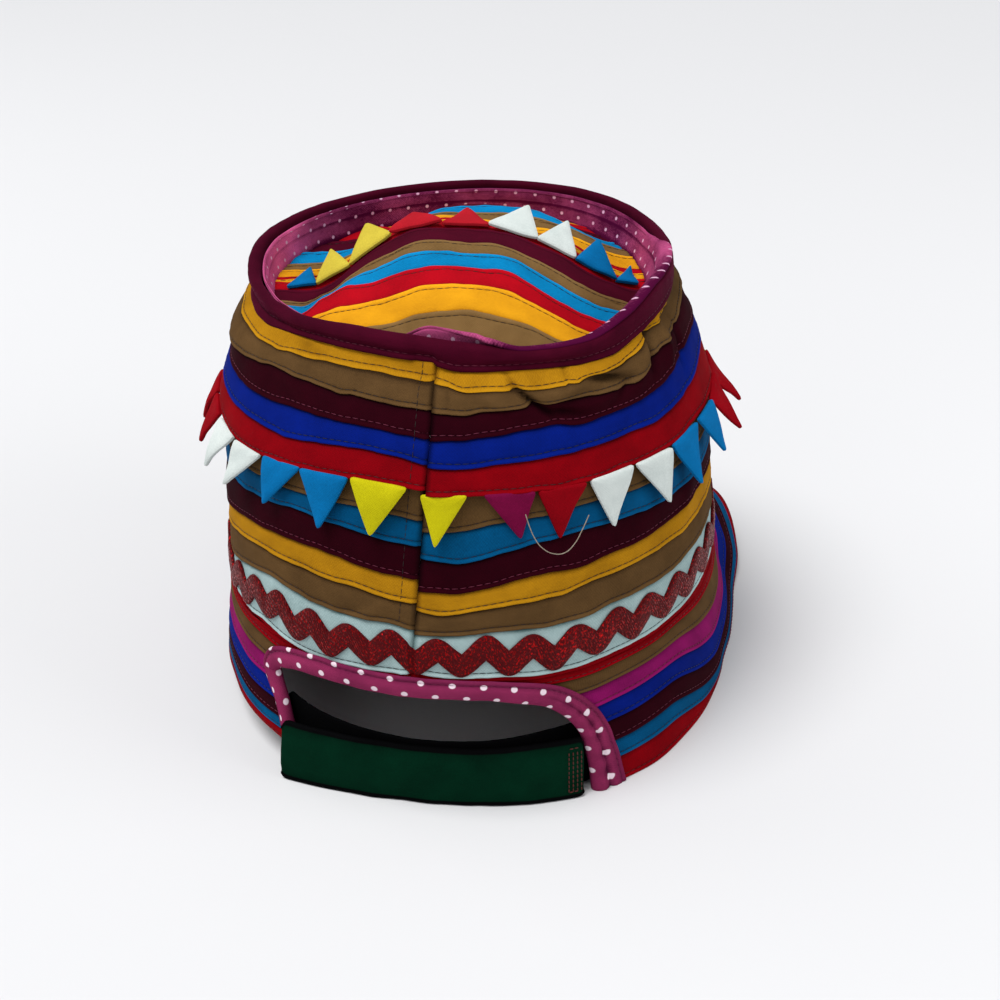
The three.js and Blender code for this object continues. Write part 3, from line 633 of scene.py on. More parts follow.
# Rim binding: a strip of maroon cotton folded over the upper edge of the upper tier,
# so that it stands up round the sunken top; its lower edge is stitched to the yellow.
RIM_TOP, RIM_OVERLAP = 150.0, 0.7  # its fold, and how far its lower edge covers the yellow strip
UPPER_TURN = 5.2  # degree of the back seam at the rim
RIM_SET = [  # degree round from the back, how far the soft rim leans out there, how far it sinks
    (0, 0, 0), (15, 0, -1.0), (30, 0.4, -3.2), (45, 0.8, -3.6), (60, 0.6, -0.6), (75, 0, 2.0),
    (90, 0, 1.0), (110, 0, 0), (180, 0, 0), (250, 0.5, 0), (270, 2.4, -0.8), (285, 3.0, -3.0),
    (300, 2.6, -4.6), (315, 1.6, -4.8), (330, 0.4, -3.2), (345, 0, -0.8), (360, 0, 0),
]
RIM_PROFILE = [  # from the top fold's inside down the outer face: share of height, mm up, out, painted shade
    (1.0, -5.0, -2.6, 0.6), (1.0, -3.0, -2.7, 0.3), (1.0, -1.0, -2.6, 0.1), (1.0, -0.2, -2.2, 0.0),
    (1.0, 0.25, -1.4, 0.0), (1.0, 0.3, -0.4, 0.0), (1.0, 0.05, 0.5, 0.0), (1.0, -0.5, 1.15, 0.0),
    (1.0, -1.4, 1.45, 0.0), (0.62, 0.0, 1.35, 0.0), (0.4, 0.0, 1.15, 0.0), (0.0, 2.6, 0.85, 0.0),
    (0.0, 2.0, 0.6, 0.3), (0.0, 1.4, 0.8, 0.0), (0.0, 0.6, 0.85, 0.0), (0.0, 0.1, 0.55, 0.1),
    (0.0, 0.0, -0.3, 0.6),
]


def rim_foot(deg):
    """Height of the binding's lower edge."""
    return curve_through(UPPER_SEAMS["yellow_top"], (deg - UPPER_TURN) % 360, 1) - RIM_OVERLAP


def rim_rows():
    """Rows of places round the rim, down the binding's outer face."""
    grid, painted_shading = [], []
    for share, extra, out, depth in RIM_PROFILE:
        row = []
        for j in range(TIER_COLUMNS):
            deg = 360.0 * j / TIER_COLUMNS
            foot = rim_foot(deg)
            top = RIM_TOP + curve_through(RIM_SET, deg, 2)
            height = foot + share * (top - foot) + extra
            lean = curve_through(RIM_SET, deg, 1) * (height - foot) / (top - foot)
            soft = ripple(deg, height * 1.5, 21, 9.0, 0.5) + ripple(deg, height * 3, 2, 3.0, 0.16)
            row.append(wall_place(UPPER_WALL, deg, height, out + lean + soft))
        grid.append(row)
        painted_shading.append([depth] * TIER_COLUMNS)
    return np.array(grid), [0] * len(grid), np.array(painted_shading)


VELVETY = cotton("maroon_binding_cotton", "4A0820", "1A020B", 0.38)
feed(VELVETY.node_tree, VELVETY.node_tree.nodes["Principled BSDF"],
     {"Sheen Weight": 0.12, "Sheen Roughness": 0.4, "Sheen Tint": srgb("D04080")})
rim_made = rim_rows()
rim = cloth_piece("rim_binding_cloth", rim_made, (VELVETY,), 1.0, closed=True)
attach(rim, "root")
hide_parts("rim_binding")


# Rim facing: polka-dot cotton inside the rim. It bulges up over the binding at the
# back and is rolled outwards over it on the right.
DOT_BLUR = 0.16  # how soft a dot's edge is


def polka_group():
    """Mask of small round dots in staggered rows, on a map in millimetres."""
    group, given, made = new_group(
        "polka_dots",
        [("Map", "Vector"), ("Along", "Float", 6.6), ("Down", "Float", 5.0), ("Shift", "Float", 0.0),
         ("Radius", "Float", 0.85)],
        [("Mask", "Float")],
    )
    step = math_in(group)
    split = put(group, "SeparateXYZ", {0: given["Map"]}).outputs
    x = step("DIVIDE", split["X"], given["Along"])
    y = step("DIVIDE", step("ADD", split["Y"], given["Shift"]), given["Down"])
    odd = step("MULTIPLY", step("FLOORED_MODULO", step("FLOOR", y), 2.0), 0.5)
    dx = step("MULTIPLY", step("SUBTRACT", step("FRACT", step("ADD", x, odd)), 0.5), given["Along"])
    dy = step("MULTIPLY", step("SUBTRACT", step("FRACT", y), 0.5), given["Down"])
    far = step("SQRT", step("ADD", step("MULTIPLY", dx, dx), step("MULTIPLY", dy, dy)))
    soft = put(group, "MapRange", {
        "Value": far,
        "From Min": step("ADD", given["Radius"], DOT_BLUR),
        "From Max": step("SUBTRACT", given["Radius"], DOT_BLUR),
    }, interpolation_type="SMOOTHSTEP")
    feed(group, made, {"Mask": soft.outputs["Result"]})
    return group


POLKA_DOTS = polka_group()
PRINT_TURN = 0.03  # the print runs so far off the thread, in radians


def dotted(name, cloth, shade, dot, along, down, shift, radius):
    """Cotton with small white dots printed on it."""
    material = cotton(name, cloth, shade)
    tree = material.node_tree
    shader = tree.nodes["Principled BSDF"]
    uv = put(tree, "UVMap", uv_map="cloth").outputs["UV"]
    bias = put(tree, "Mapping", {"Vector": uv, "Rotation": (0, 0, PRINT_TURN)}).outputs["Vector"]
    dots = put(tree, "Group", {"Map": bias, "Along": along, "Down": down, "Shift": shift, "Radius": radius},
               node_tree=POLKA_DOTS).outputs["Mask"]
    plain = shader.inputs["Base Color"].links[0].from_socket
    mix = put(tree, "Mix", {"Factor": dots, "A": plain, "B": srgb(dot)}, data_type="RGBA")
    feed(tree, shader, {"Base Color": mix.outputs["Result"]})
    return material


def bump_between(deg, start, end, ends):
    """1 between two angles, falling smoothly to 0 over so many degrees beyond them."""
    deg = (deg + 180) % 360 - 180
    far = max(start - deg, deg - end, 0.0) / ends
    return max(0.0, 1 - far) ** 2 * (3 - 2 * max(0.0, 1 - far))


FACING_ROWS = [  # height above the rim's foot line, inset, share of the outward roll
    (136.0, 4.6, 0.0), (138.0, 4.3, 0.0), (140.0, 4.0, 0.0), (142.0, 3.7, 0.0), (144.0, 3.6, 0.0),
    (145.4, 3.7, 0.0), (146.0, 3.7, 0.0), (147.5, 3.6, 0.0), (149.0, 3.5, 0.0), (150.1, 3.4, 0.1),
    (150.75, 3.2, 0.4), (150.95, 3.0, 0.75), (150.8, 2.9, 1.0), (150.3, 2.9, 1.12),
]
FACING_FOOT = 136.0
FACING_SHORT = 0.2  # share of its height that it lacks where it isn't rolled over the rim
BACK_BULGE = (4, 15, 12)  # degrees where it bulges up, and how softly that ends
ROLLED_OUT = (22, 100, 18)  # the same for where it is rolled out over the rim
SLANTED_IN = (30, 130, 40)  # the same for where its foot goes further in
BULGE_UP, BULGE_IN, ROLL_UP, ROLL_OUT, SLANT_IN = 1.9, 0.5, 0.25, 3.5, 3.2
RIM_RISE = 0.03  # how the rim rises to the front


def facing_place(deg, height, inset, roll):
    """A place on the facing in metres."""
    bulge = bump_between(deg, *BACK_BULGE)
    over = bump_between(deg, *ROLLED_OUT)
    height = FACING_FOOT + (height - FACING_FOOT) * (1 - FACING_SHORT * (1 - max(bulge, over)))
    slant = bump_between(deg, *SLANTED_IN) * SLANT_IN * max(0.0, (149.0 - height) / 13.0)
    high = max(0.0, (height - 137.0) / 13.0)
    sink = curve_through(RIM_SET, deg % 360, 2) * high
    lean = curve_through(RIM_SET, deg % 360, 1) * high
    up = BULGE_UP * bulge * max(0.0, (height - 144.0) / 6.0) + ROLL_UP * over * roll + sink
    out = -inset - slant - BULGE_IN * bulge + ROLL_OUT * roll * over + lean
    x, y, _ = wall_place(UPPER_WALL, deg, RIM_TOP, out + ripple(deg, height * 2, 33, 8.0, 0.35))
    return (x, y, (height + up + RIM_RISE * ((y - WALL_MIDDLE[1]) / MM)) * MM)


FACING_PAINTED_SHADE = {0: 0.6, 1: 0.3, 5: 0.3}  # painted shade on rows: its foot and the pressed fold halfway up


def facing_painted_shading(row, deg):
    """How much painted shade the print gets: painted light on the left, a little at the right and the
    bulge; painted shade at its foot and fold, and darker on the rolled rows at the right.
    """
    lit = max(bump_between(deg, -100, -50, 18), 0.4 * bump_between(deg, 90, 112, 14),
              0.5 * bump_between(deg, *BACK_BULGE))
    rolled = 0.45 * bump_between(deg, 28, 84, 14) * max(0, row - 8) / 5
    return min(1.0, 0.6 * (1 - lit) + FACING_PAINTED_SHADE.get(row, 0.0) + rolled)


round_rim = [360.0 * j / TIER_COLUMNS for j in range(TIER_COLUMNS)]
facing_made = (
    np.array([[facing_place(deg, *row) for deg in round_rim] for row in FACING_ROWS]),
    [0] * len(FACING_ROWS),
    np.array([[facing_painted_shading(i, deg) for deg in round_rim] for i in range(len(FACING_ROWS))]),
)
FACING_PRINT = dotted("polka_dot_facing", "EE6AA4", "4A0830", "D8A8C4", 7.4, 5.4, 2.2, 0.6)
facing = cloth_piece("rim_facing_cloth", facing_made, (FACING_PRINT,), 0.9, closed=True)
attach(facing, "root")
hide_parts("rim_facing")


# Sunken top: two panels of striped cotton over a low swelling. Each strip's far edge is
# folded and stitched over the next; the panels meet in the seam that holds pennants.
TOP_TURN = math.radians(8)
TOP_SEAM = [  # along the seam, how far it strays to the front there
    (-70, -5), (-55, -3), (-44, 1), (-35, 4), (-26, 3), (-12, 0), (3, 0), (19, -4), (31, -5.5),
    (39, -2.5), (46, 2), (60, 7),
]
TOP_FOOT, TOP_RISE, TOP_TILT = 137.5, 22, 0.03  # the swelling's foot and height, its rise to the front
TOP_X, TOP_Y, TOP_HALF_WIDE, TOP_HALF_LONG = -2, 3.4, 56, 80
RIGHT_WIDER, RIGHT_FROM = 1.5, 30  # how much wider it is at the right, and how far over that takes
TOP_SAG = (6, 24, 24, 15, -6.5)  # how the front panel drops behind the middle of the seam
TUCK_HOLLOW = (-50, -14, 5, 12, -2.0)  # at the tuck the cloth sinks in and swells beside it
TUCK_SWELL = (-61, -22, 6, 8, 1.6)


def swelling(x, y, at_x, at_y, half_x, half_y, rise):
    """Height of a round swelling or, below 0, a hollow, at a place."""
    return rise * math.exp(-((x - at_x) / half_x) ** 2 - ((y - at_y) / half_y) ** 2)


def dome(x, y):
    """Height of the top's low swelling at a place."""
    half_width = TOP_HALF_WIDE + RIGHT_WIDER * max(0.0, min(1.0, (x - TOP_X) / RIGHT_FROM))
    away = math.hypot((x - TOP_X) / half_width, (y - TOP_Y) / TOP_HALF_LONG)
    rise = TOP_RISE * math.cos(math.pi / 2 * min(away, 1) ** 1.5) ** 2
    return TOP_FOOT + rise + TOP_TILT * y + swelling(x, y, *TOP_SAG)


# By the distance from the seam: how far the tuck at the left draws the cloth to the seam,
# and how much the strips fan out to the right
TOP_TUCK = [
    (-90, 0), (-57, 0), (-45.5, 3.2), (-35.5, 9.6), (-27, 16), (-18.5, 11.8), (-11.5, 7.5), (0, 0), (90, 0),
]
TOP_FAN = [(-90, 0), (0, 0), (15, 0.08), (33, 0.17), (45, 0.15), (60, 0.05), (70, 0), (90, 0)]
TUCK_AT, TUCK_LEFT, TUCK_RIGHT = -51, 4.2, 13  # where the tuck is along the seam, how far it reaches
SEAM_REACH = 45  # how far from the seam the strips still follow its waver


def top_line(along, across):
    """Where a line across the top lies, by its distance from the seam before it's drawn in."""
    left, right = min(0.0, along - TUCK_AT) / TUCK_LEFT, max(0.0, along - TUCK_AT) / TUCK_RIGHT
    tuck = math.exp(-left * left - right * right)
    across += tuck * curve_through(TOP_TUCK, across, 1) + along * curve_through(TOP_FAN, across, 1)
    return across + curve_through(TOP_SEAM, along, 1) * max(0.0, 1 - abs(across) / SEAM_REACH)


def top_place(along, across, out):
    """A place on the top in metres, so far off its face, by its place along the seam."""
    out += swelling(along, across, *TUCK_HOLLOW)
    out += swelling(along, across, *TUCK_SWELL)
    across = top_line(along, across)
    x = along * math.cos(TOP_TURN) - across * math.sin(TOP_TURN)
    y = along * math.sin(TOP_TURN) + across * math.cos(TOP_TURN)
    z = dome(x, y) + out + ripple(x, y, 7, 14.0, 1.1) + ripple(x, y * 2, 1, 4.5, 0.3)
    return (x * MM + WALL_MIDDLE[0], y * MM + WALL_MIDDLE[1], z * MM)


def top_outline():
    """The facing's inner foot, as places along and across the seam."""
    edge = []
    for j in range(361):
        x, y, _ = facing_place(float(j), 138.0, 4.1, 0.0)
        x, y = (x - WALL_MIDDLE[0]) / MM, (y - WALL_MIDDLE[1]) / MM
        edge.append((x * math.cos(TOP_TURN) + y * math.sin(TOP_TURN),
                     y * math.cos(TOP_TURN) - x * math.sin(TOP_TURN)))
    return edge


TOP_OUTLINE = top_outline()
HALF_GAP = 0.2  # the panels keep so far from the seam and from the facing
TOP_NEAR = min(across for _, across in TOP_OUTLINE) + HALF_GAP
TOP_FAR = max(across for _, across in TOP_OUTLINE) - HALF_GAP
TOP_COLUMNS = 120
TOP_STRAY = (12.0, 1.0)  # size and depth of the waver of the top's seams


def top_end(across, side):
    """The left or right end, -1 or 1, of a row of the top, where it meets the facing. The
    row isn't straight, so the end is found in steps."""
    along = 0.0
    for _ in range(6):
        reach = min(max(top_line(along, across), TOP_NEAR), TOP_FAR)
        ends = [a0 + (a1 - a0) * (reach - c0) / (c1 - c0)
                for (a0, c0), (a1, c1) in zip(TOP_OUTLINE, TOP_OUTLINE[1:])
                if (c0 - reach) * (c1 - reach) <= 0 and c0 != c1]
        end = side * max(side * place for place in ends)
        along = 0.5 * along + 0.5 * end if along else end
    return along


def top_rows(bounds):
    """Rows of places along a panel's strips, which lie between the bounds across the seam."""
    grid, strips, painted_shading = [], [], []
    for strip, (near, far) in enumerate(zip(bounds, bounds[1:])):
        drawn = min(1.0, (far - near) / FULL_STRIP)
        for share, extra, out, depth in STRIP_PROFILE:
            across = near + share * (far - near) + extra * drawn
            left, right = top_end(across, -1), top_end(across, 1)
            row = []
            for j in range(TOP_COLUMNS + 1):
                along = right + (left - right) * j / TOP_COLUMNS
                near_stray = ripple(along, 9.0 * strip, 4, *TOP_STRAY)
                far_stray = ripple(along, 9.0 * (strip + 1), 4, *TOP_STRAY)
                wander = (1 - share) * near_stray + share * far_stray
                inside = min(1.0, 12 * (1 - abs(2 * j / TOP_COLUMNS - 1)))
                row.append(top_place(along, across + wander * inside, out * drawn))
            grid.append(row)
            strips.append(strip)
            painted_shading.append([depth] * (TOP_COLUMNS + 1))
    return np.array(grid), strips, np.array(painted_shading)


# The top's dyes: lighter copies of the wall's, with painted light for the top that faces up.
TOP_LIT_DYES = {
    colour: cotton(f"top_{colour}_cotton", cloth, shade) for colour, cloth, shade in [
        ("yellow", "F0A91C", "9C6210"), ("brown", "84663E", "4C3519"), ("maroon", "520B22", "260510"),
        ("red", "BC0C1C", "6E0410"), ("blue", "0A8CCA", "064E74"),
    ]
}
top_made = []
for name, bounds, dyes, node, area in [
    ("top_back_cloth", [TOP_NEAR, -63, -54.5, -45.5, -35.5, -27, -18.5, -11.5, -HALF_GAP],
     "yellow maroon brown yellow red blue brown maroon", "top_back_panel", 0.0077),
    ("top_front_cloth", [HALF_GAP, 8, 12, 16, 26, 33, 41, 50, 60, TOP_FAR],
     "red yellow red yellow brown blue maroon red yellow", "top_front_panel", 0.0088),
]:
    top_made.append(top_rows(bounds))
    panel = cloth_piece(name, top_made[-1], [TOP_LIT_DYES[dye] for dye in dyes.split()], 1.4)
    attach(panel, "root")
    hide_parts(node)


# Pennants: small squares of cotton folded twice to a triangle, pressed flat with a
# little puff left in them, their raw side caught in a seam.
bpy.ops.mesh.primitive_cylinder_add(vertices=3, radius=0.010, depth=0.0009, location=(0, 0, 0))
folded = bpy.context.object
folded.name = "folded_triangle"
levels = [v.co.z for v in folded.data.vertices]
corner_edges = [abs(levels[e.vertices[0]] - levels[e.vertices[1]]) > 0.0005 for e in folded.data.edges]
bpy.ops.object.mode_set(mode="EDIT")
bpy.ops.mesh.select_mode(type="EDGE")
bpy.ops.mesh.select_all(action="DESELECT")
bpy.ops.object.mode_set(mode="OBJECT")
folded.data.edges.foreach_set("select", corner_edges)
bpy.ops.object.mode_set(mode="EDIT")
bpy.ops.mesh.bevel(offset=0.0013, segments=2)
bpy.ops.mesh.select_mode(type="FACE")
bpy.ops.mesh.select_all(action="DESELECT")
bpy.ops.object.mode_set(mode="OBJECT")
for face in folded.data.polygons:
    face.select = abs(face.normal.z) > 0.9
bpy.ops.object.mode_set(mode="EDIT")
bpy.ops.mesh.inset(thickness=0.0006)
bpy.ops.transform.shrink_fatten(value=0.0003)
bpy.ops.object.mode_set(mode="OBJECT")
puff = folded.modifiers.new("puff", "SUBSURF")
puff.subdivision_type = "SIMPLE"
puff.levels = puff.render_levels = 2
bpy.ops.object.modifier_apply(modifier="puff")
edge_round = folded.modifiers.new("edge", "SUBSURF")
edge_round.levels = edge_round.render_levels = 1
bpy.ops.object.modifier_apply(modifier="edge")
bpy.ops.object.shade_smooth()
corners = np.array([v.co for v in folded.data.vertices])
folded_low = corners.min(axis=0)
folded_high = corners.max(axis=0)
widest = max(folded.data.vertices, key=lambda v: abs(v.co[0])).co
upside = widest[1] > (folded_low[1] + folded_high[1]) / 2
BENT, DENTED, PUFFED = 1.3, 0.6, 0.45  # how far each pennant bends, is dented and puffs out


def pennant(name, node, dye, base, side, point, wide, long):
    """A folded triangle with its base's middle, the base's direction and its point's."""
    piece = folded.copy()
    piece.data = folded.data.copy()
    piece.name = piece.data.name = name
    bpy.context.scene.collection.objects.link(piece)
    uvs = piece.data.uv_layers.new(name="cloth")
    centre = (folded_low + folded_high) / 2
    size = folded_high - folded_low
    face = Vector(side).cross(Vector(point)).normalized()
    local = []
    for v in piece.data.vertices:
        u = (v.co[0] - centre[0]) / size[0] * wide
        from_base = folded_high[1] - v.co[1] if upside else v.co[1] - folded_low[1]
        w = from_base / size[1] * long
        bend = BENT * math.sin(math.pi * min(max(w / long, 0), 1)) * noise.noise(Vector(base) * 70)
        dent = DENTED * noise.noise(Vector((u * 0.12, w * 0.12, 900 * base[0])))
        from_edge = min(w, 0.5 * wide * (1 - w / long) - abs(u)) / 3.0
        puff = math.copysign(PUFFED * math.sin(math.pi / 2 * min(max(from_edge, 0), 1)), v.co[2])
        local.append((u, w, v.co[2] / MM + bend + dent + puff))
    for loop in piece.data.loops:
        u, w, _ = local[loop.vertex_index]
        uvs.data[loop.index].uv = (u + 40 * base[0] / MM, w)
    for v, (u, w, h) in zip(piece.data.vertices, local):
        v.co = Vector(base) + (Vector(side) * u + Vector(point) * w + face * h) * MM
    piece.data.materials.clear()
    piece.data.materials.append(dye)
    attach(piece, "root")
    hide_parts(node)


FINE = 0.4  # their weave is finer than the strips'
DYES = {
    colour: cotton(name, cloth, shade, FINE) for colour, name, cloth, shade in [
        ("yellow", "lemon_cotton", "D2CA16", "8F8408"), ("magenta", "magenta_cotton", "801042", "44061F"),
        ("red", "red_pennant_cotton", "980614", "58040B"), ("white", "white_cotton", "DEE4E0", "9CA8A6"),
        ("light_blue", "blue_pennant_cotton", "0A76B8", "054468"),
    ]
}
WALL_PENNANTS = [  # colour, degree, width of the base, length, splay, lean
    ("yellow", 7.9, 13.6, 16.2, 14, -9), ("magenta", 21.0, 15.5, 15.6, 4, 13),
    ("red", 32.3, 15.8, 17, 3, -3), ("white", 44.0, 17.0, 17.5, 9, -2), ("white", 55.8, 18.0, 18, 14, 16),
    ("light_blue", 67.6, 18.0, 18.5, 21, 7), ("light_blue", 79.5, 17.5, 17.5, 26, 12),
    ("red", 91.5, 18.5, 18.0, 40, -12), ("red", 103.5, 18.5, 18.0, 42, -10),
    ("yellow", 114.5, 17, 17.5, 24, -6), ("yellow", 125.5, 17, 17, 22, 4),
    ("magenta", 136.0, 17, 17.5, 20, 8), ("magenta", 146.6, 17, 17.5, 24, -5),
    ("red", 156.8, 17, 17, 18, 4), ("white", 167.0, 17, 17.5, 20, 9), ("white", 177.2, 17, 17.5, 26, -4),
    ("light_blue", 187.4, 17, 17, 22, 3), ("light_blue", 197.6, 17, 17.5, 17, 7),
    ("red", 208.0, 17, 17.5, 24, -8), ("yellow", 218.5, 17, 17, 20, 2),
    ("yellow", 229.2, 17, 17.5, 26, 6), ("magenta", 240.2, 17, 17.5, 20, -6),
    ("red", 251.4, 17, 17, 24, 3), ("white", 262.8, 17, 17.5, 26, 6),
    ("light_blue", 272.8, 16.5, 17, 24, -4), ("red", 283.4, 16.5, 17.5, 24, -10),
    ("red", 294.4, 16.5, 17.5, 24, -14), ("white", 306.0, 16.5, 17.5, 24, -18),
    ("white", 318.0, 18.0, 17.5, 19, -26), ("light_blue", 330.5, 17.0, 17.5, 10, -22),
    ("light_blue", 342.0, 17.5, 17.5, 13, 1), ("yellow", 354.5, 17.5, 17, 11, -6),
]
# How far up the far end of a base is turned, by its degree
BASE_TURN = [(0, 0), (80, 0), (91.5, 0.13), (103.5, 0.13), (115, 0), (360, 0)]
HUNG_OUT, TURNED_OUT = 1.55, 0.9  # how far out of the wall a base is, and one that is turned
FOOT_TURN, CAUGHT = 4.3, 0.5  # degree of the back seam there, how far a base is caught in the seam


def under_seam(deg, out):
    """A place on the seam that holds the pennants, so far out of the wall."""
    x, y, _ = wall_place(LOWER_WALL, deg, LOWER_WALL[-1][0], out)
    seam = curve_through(UPPER_SEAMS["red_foot"], (deg - FOOT_TURN) % 360, 1)
    return Vector((x, y, (seam + CAUGHT) * MM))


for i, (colour, deg, wide, long, splay, lean) in enumerate(WALL_PENNANTS):
    turn = float(np.interp(deg, *zip(*BASE_TURN)))
    here = under_seam(deg, TURNED_OUT if turn else HUNG_OUT)
    outward = (under_seam(deg, HUNG_OUT + 1.0) - here).normalized()
    side = (under_seam(deg + 3, HUNG_OUT) - under_seam(deg - 3, HUNG_OUT)).normalized()
    side = (side + Vector((0, 0, turn))).normalized()
    tilt, sway = math.radians(splay), math.radians(lean)
    down = Vector((0, 0, -1)) * math.cos(sway) + Vector((side.x, side.y, 0)).normalized() * math.sin(sway)
    point = outward * math.sin(tilt) + down * math.cos(tilt)
    pennant(f"wall_pennant_{i + 1:02d}", f"pennant_{i + 1:02d}_{colour}", DYES[colour],
            here, -side, point, wide, long)

LIGHTER = {"yellow": cotton("pale_lemon_cotton", "DCC848", "98842A", FINE),
           "red": cotton("light_red_cotton", "C0202C", "74101A", FINE)}
TOP_PENNANTS = [  # colour, base from, base to, azimuth of the point, lift, length
    ("light_blue", -64.5, -54.8, 93, 6, 14), ("yellow", -54.6, -43.7, 108, 15, 15),
    ("yellow", -43.7, -29.8, 108, 13, 16), ("red", -30.5, -12.6, 105, -3, 16),
    ("red", -12.5, 3.4, 100, 0, 17), ("white", 2.7, 19.1, 81, 13, 17), ("white", 19.1, 32.0, 85, 16, 16),
    ("light_blue", 32.0, 46.0, 95, 21, 16), ("light_blue", 46.0, 53.7, 92, 5, 13),
]
BEHIND_SEAM, OFF_TOP = 0.6, 0.8  # their bases lie just behind the seam and on the cloth
for i, (colour, start, end, azimuth, lift, long) in enumerate(TOP_PENNANTS):
    left, right = (Vector(top_place(along, BEHIND_SEAM, 0.3)) for along in (start, end))
    base = (left + right) / 2
    base.z = max(base.z, top_place((start + end) / 2, BEHIND_SEAM, 0.2)[2]) + OFF_TOP * MM
    a, e = math.radians(azimuth), math.radians(lift)
    point = Vector((math.cos(a) * math.cos(e), math.sin(a) * math.cos(e), math.sin(e)))
    pennant(f"seam_pennant_{i + 1}", f"top_pennant_{i + 1}_{colour}", LIGHTER.get(colour, DYES[colour]),
            base, (right - left).normalized(), point, (right - left).length / MM, long)
bpy.data.objects.remove(folded)


# Brim: seven lapped strips of cotton that follow its edge, nearly upright at the sides and
# spread wide at the front. It is cut away at the back, where its ends meet the binding.
BRIM_SEAM = 49.7
BRIM_SLANT = 52.5  # from the seam to the edge along the cloth
BRIM_LIFT, BRIM_LOWEST = 0.3, 0.02  # its edge as cut keeps so far off the floor, and as it waves
BRIM_EDGE = [  # degree, how far the edge stands out of the seam, how high it hangs
    (-180, 42, 0), (-160, 42, 0), (-141, 40, 0), (-126, 29, 0), (-112, 18, 0), (-100, 13, 0),
    (-90, 9.5, 1), (-80, 6, 4), (-68, 4, 7.5), (-56, 3, 9), (-36, 3.2, 10), (0, 0, 0), (36, 3.5, 0),
    (55, 6.5, 0), (75, 7, 0), (90, 8, 0), (100, 11, 0), (115, 18, 0), (126, 29, 0), (141, 40, 0),
    (160, 42, 0), (180, 42, 0),
]
BRIM_SHARES = [0.0, 0.10, 0.22, 0.365, 0.515, 0.68, 0.815, 1.0]  # seams, from the top to the edge
BRIM_COLUMNS = 300
UNDER_BINDING = 0.9  # degrees that the brim's ends go under the binding of the cut-out
# The cut-out's two sides: height, degree
ARCH_RIGHT = [(0, 46), (12, 44.5), (25, 41.8), (35, 37.5), (42.6, 31), (46.6, 23), (48.6, 13), (49.4, 1)]
ARCH_LEFT = [
    (10, -30.5), (19, -32.4), (28, -35.8), (34.5, -38.2), (40.5, -35.5), (44.6, -30), (47.2, -22),
    (48.5, -12), (49.4, -1),
]


def brim_drop(deg):
    """How far the edge hangs below the seam."""
    return min(BRIM_SEAM - BRIM_LIFT, math.sqrt(BRIM_SLANT ** 2 - curve_through(BRIM_EDGE, deg, 1) ** 2))


def brim_place(deg, height, out):
    """A place on the brim in metres, so far off its outer face."""
    deg = (deg + 180) % 360 - 180
    down = (BRIM_SEAM - height) / brim_drop(deg)
    flare = curve_through(BRIM_EDGE, deg, 1) * (0.7 * down + 0.3 * down * abs(down))
    x, y, _ = wall_place(LOWER_WALL, deg, BRIM_SEAM, flare + out)
    return (x, y, height * MM)


def brim_spread(deg, part):
    """A share of the brim's width as it lies: at the sides its edge turns down and in, so
    that the outer strips show least."""
    turned = 1 + 1.5 * bump_between(deg, 98, 116, 38) + 0.6 * bump_between(deg, -108, -42, 26)
    return 1 - (1 - part) ** turned


def brim_level(deg, top, foot, share, extra):
    """Height of a strip's row at a degree, and how far a narrow strip's profile is drawn in."""
    deg = (deg + 180) % 360 - 180
    low = max(curve_through(BRIM_EDGE, deg, 2), BRIM_SEAM - BRIM_LIFT - brim_drop(deg))
    high = curve_through(BAND_SEAMS["band_foot"], deg % 360, 1) + 0.5
    top, foot = brim_spread(deg, top), brim_spread(deg, foot)
    drawn = min(1.0, (foot - top) * (high - low) / FULL_STRIP)
    return high - (top + share * (foot - top)) * (high - low) - extra * drawn, drawn


def brim_rows():
    """Rows of places along the brim's strips, from one side of the cut-out to the other."""
    grid, strips, painted_shading = [], [], []
    for strip, (top, foot) in enumerate(zip(BRIM_SHARES, BRIM_SHARES[1:])):
        for share, extra, out, depth in STRIP_PROFILE:
            part = top + share * (foot - top)
            start, end = 10.0, 350.0
            for _ in range(6):
                right, left = (brim_level(deg, top, foot, share, extra)[0] for deg in (start, end))
                start = curve_through(ARCH_RIGHT, right, 1) - UNDER_BINDING
                end = 360 + UNDER_BINDING + curve_through(ARCH_LEFT, left, 1)
            row = []
            for j in range(BRIM_COLUMNS + 1):
                deg = start + (end - start) * j / BRIM_COLUMNS
                height, drawn = brim_level(deg, top, foot, share, extra)
                height += ripple(deg, 9.0 * part, 0, 9.0, 0.5) * min(part * 8, (1 - part) * 8, 1) * drawn
                height = max(height, BRIM_LOWEST)
                row.append(brim_place(deg, height, out * drawn + ripple(deg * 1.5, height, 17, 15.0, 0.4)))
            grid.append(row)
            strips.append(strip)
            painted_shading.append([depth] * (BRIM_COLUMNS + 1))
    return np.array(grid), strips, np.array(painted_shading)


VIOLET = cotton("magenta_strip_cotton", "8E1460", "480A30")
brim_made = brim_rows()
brim = cloth_piece("brim_cloth", brim_made, (SHADED_RED, SHADED_BROWN, VIOLET, ROYAL_BLUE, SHADED_MAROON, SHADED_LIGHT_BLUE, SHADED_RED), 1.9)
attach(brim, "root")
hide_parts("brim")


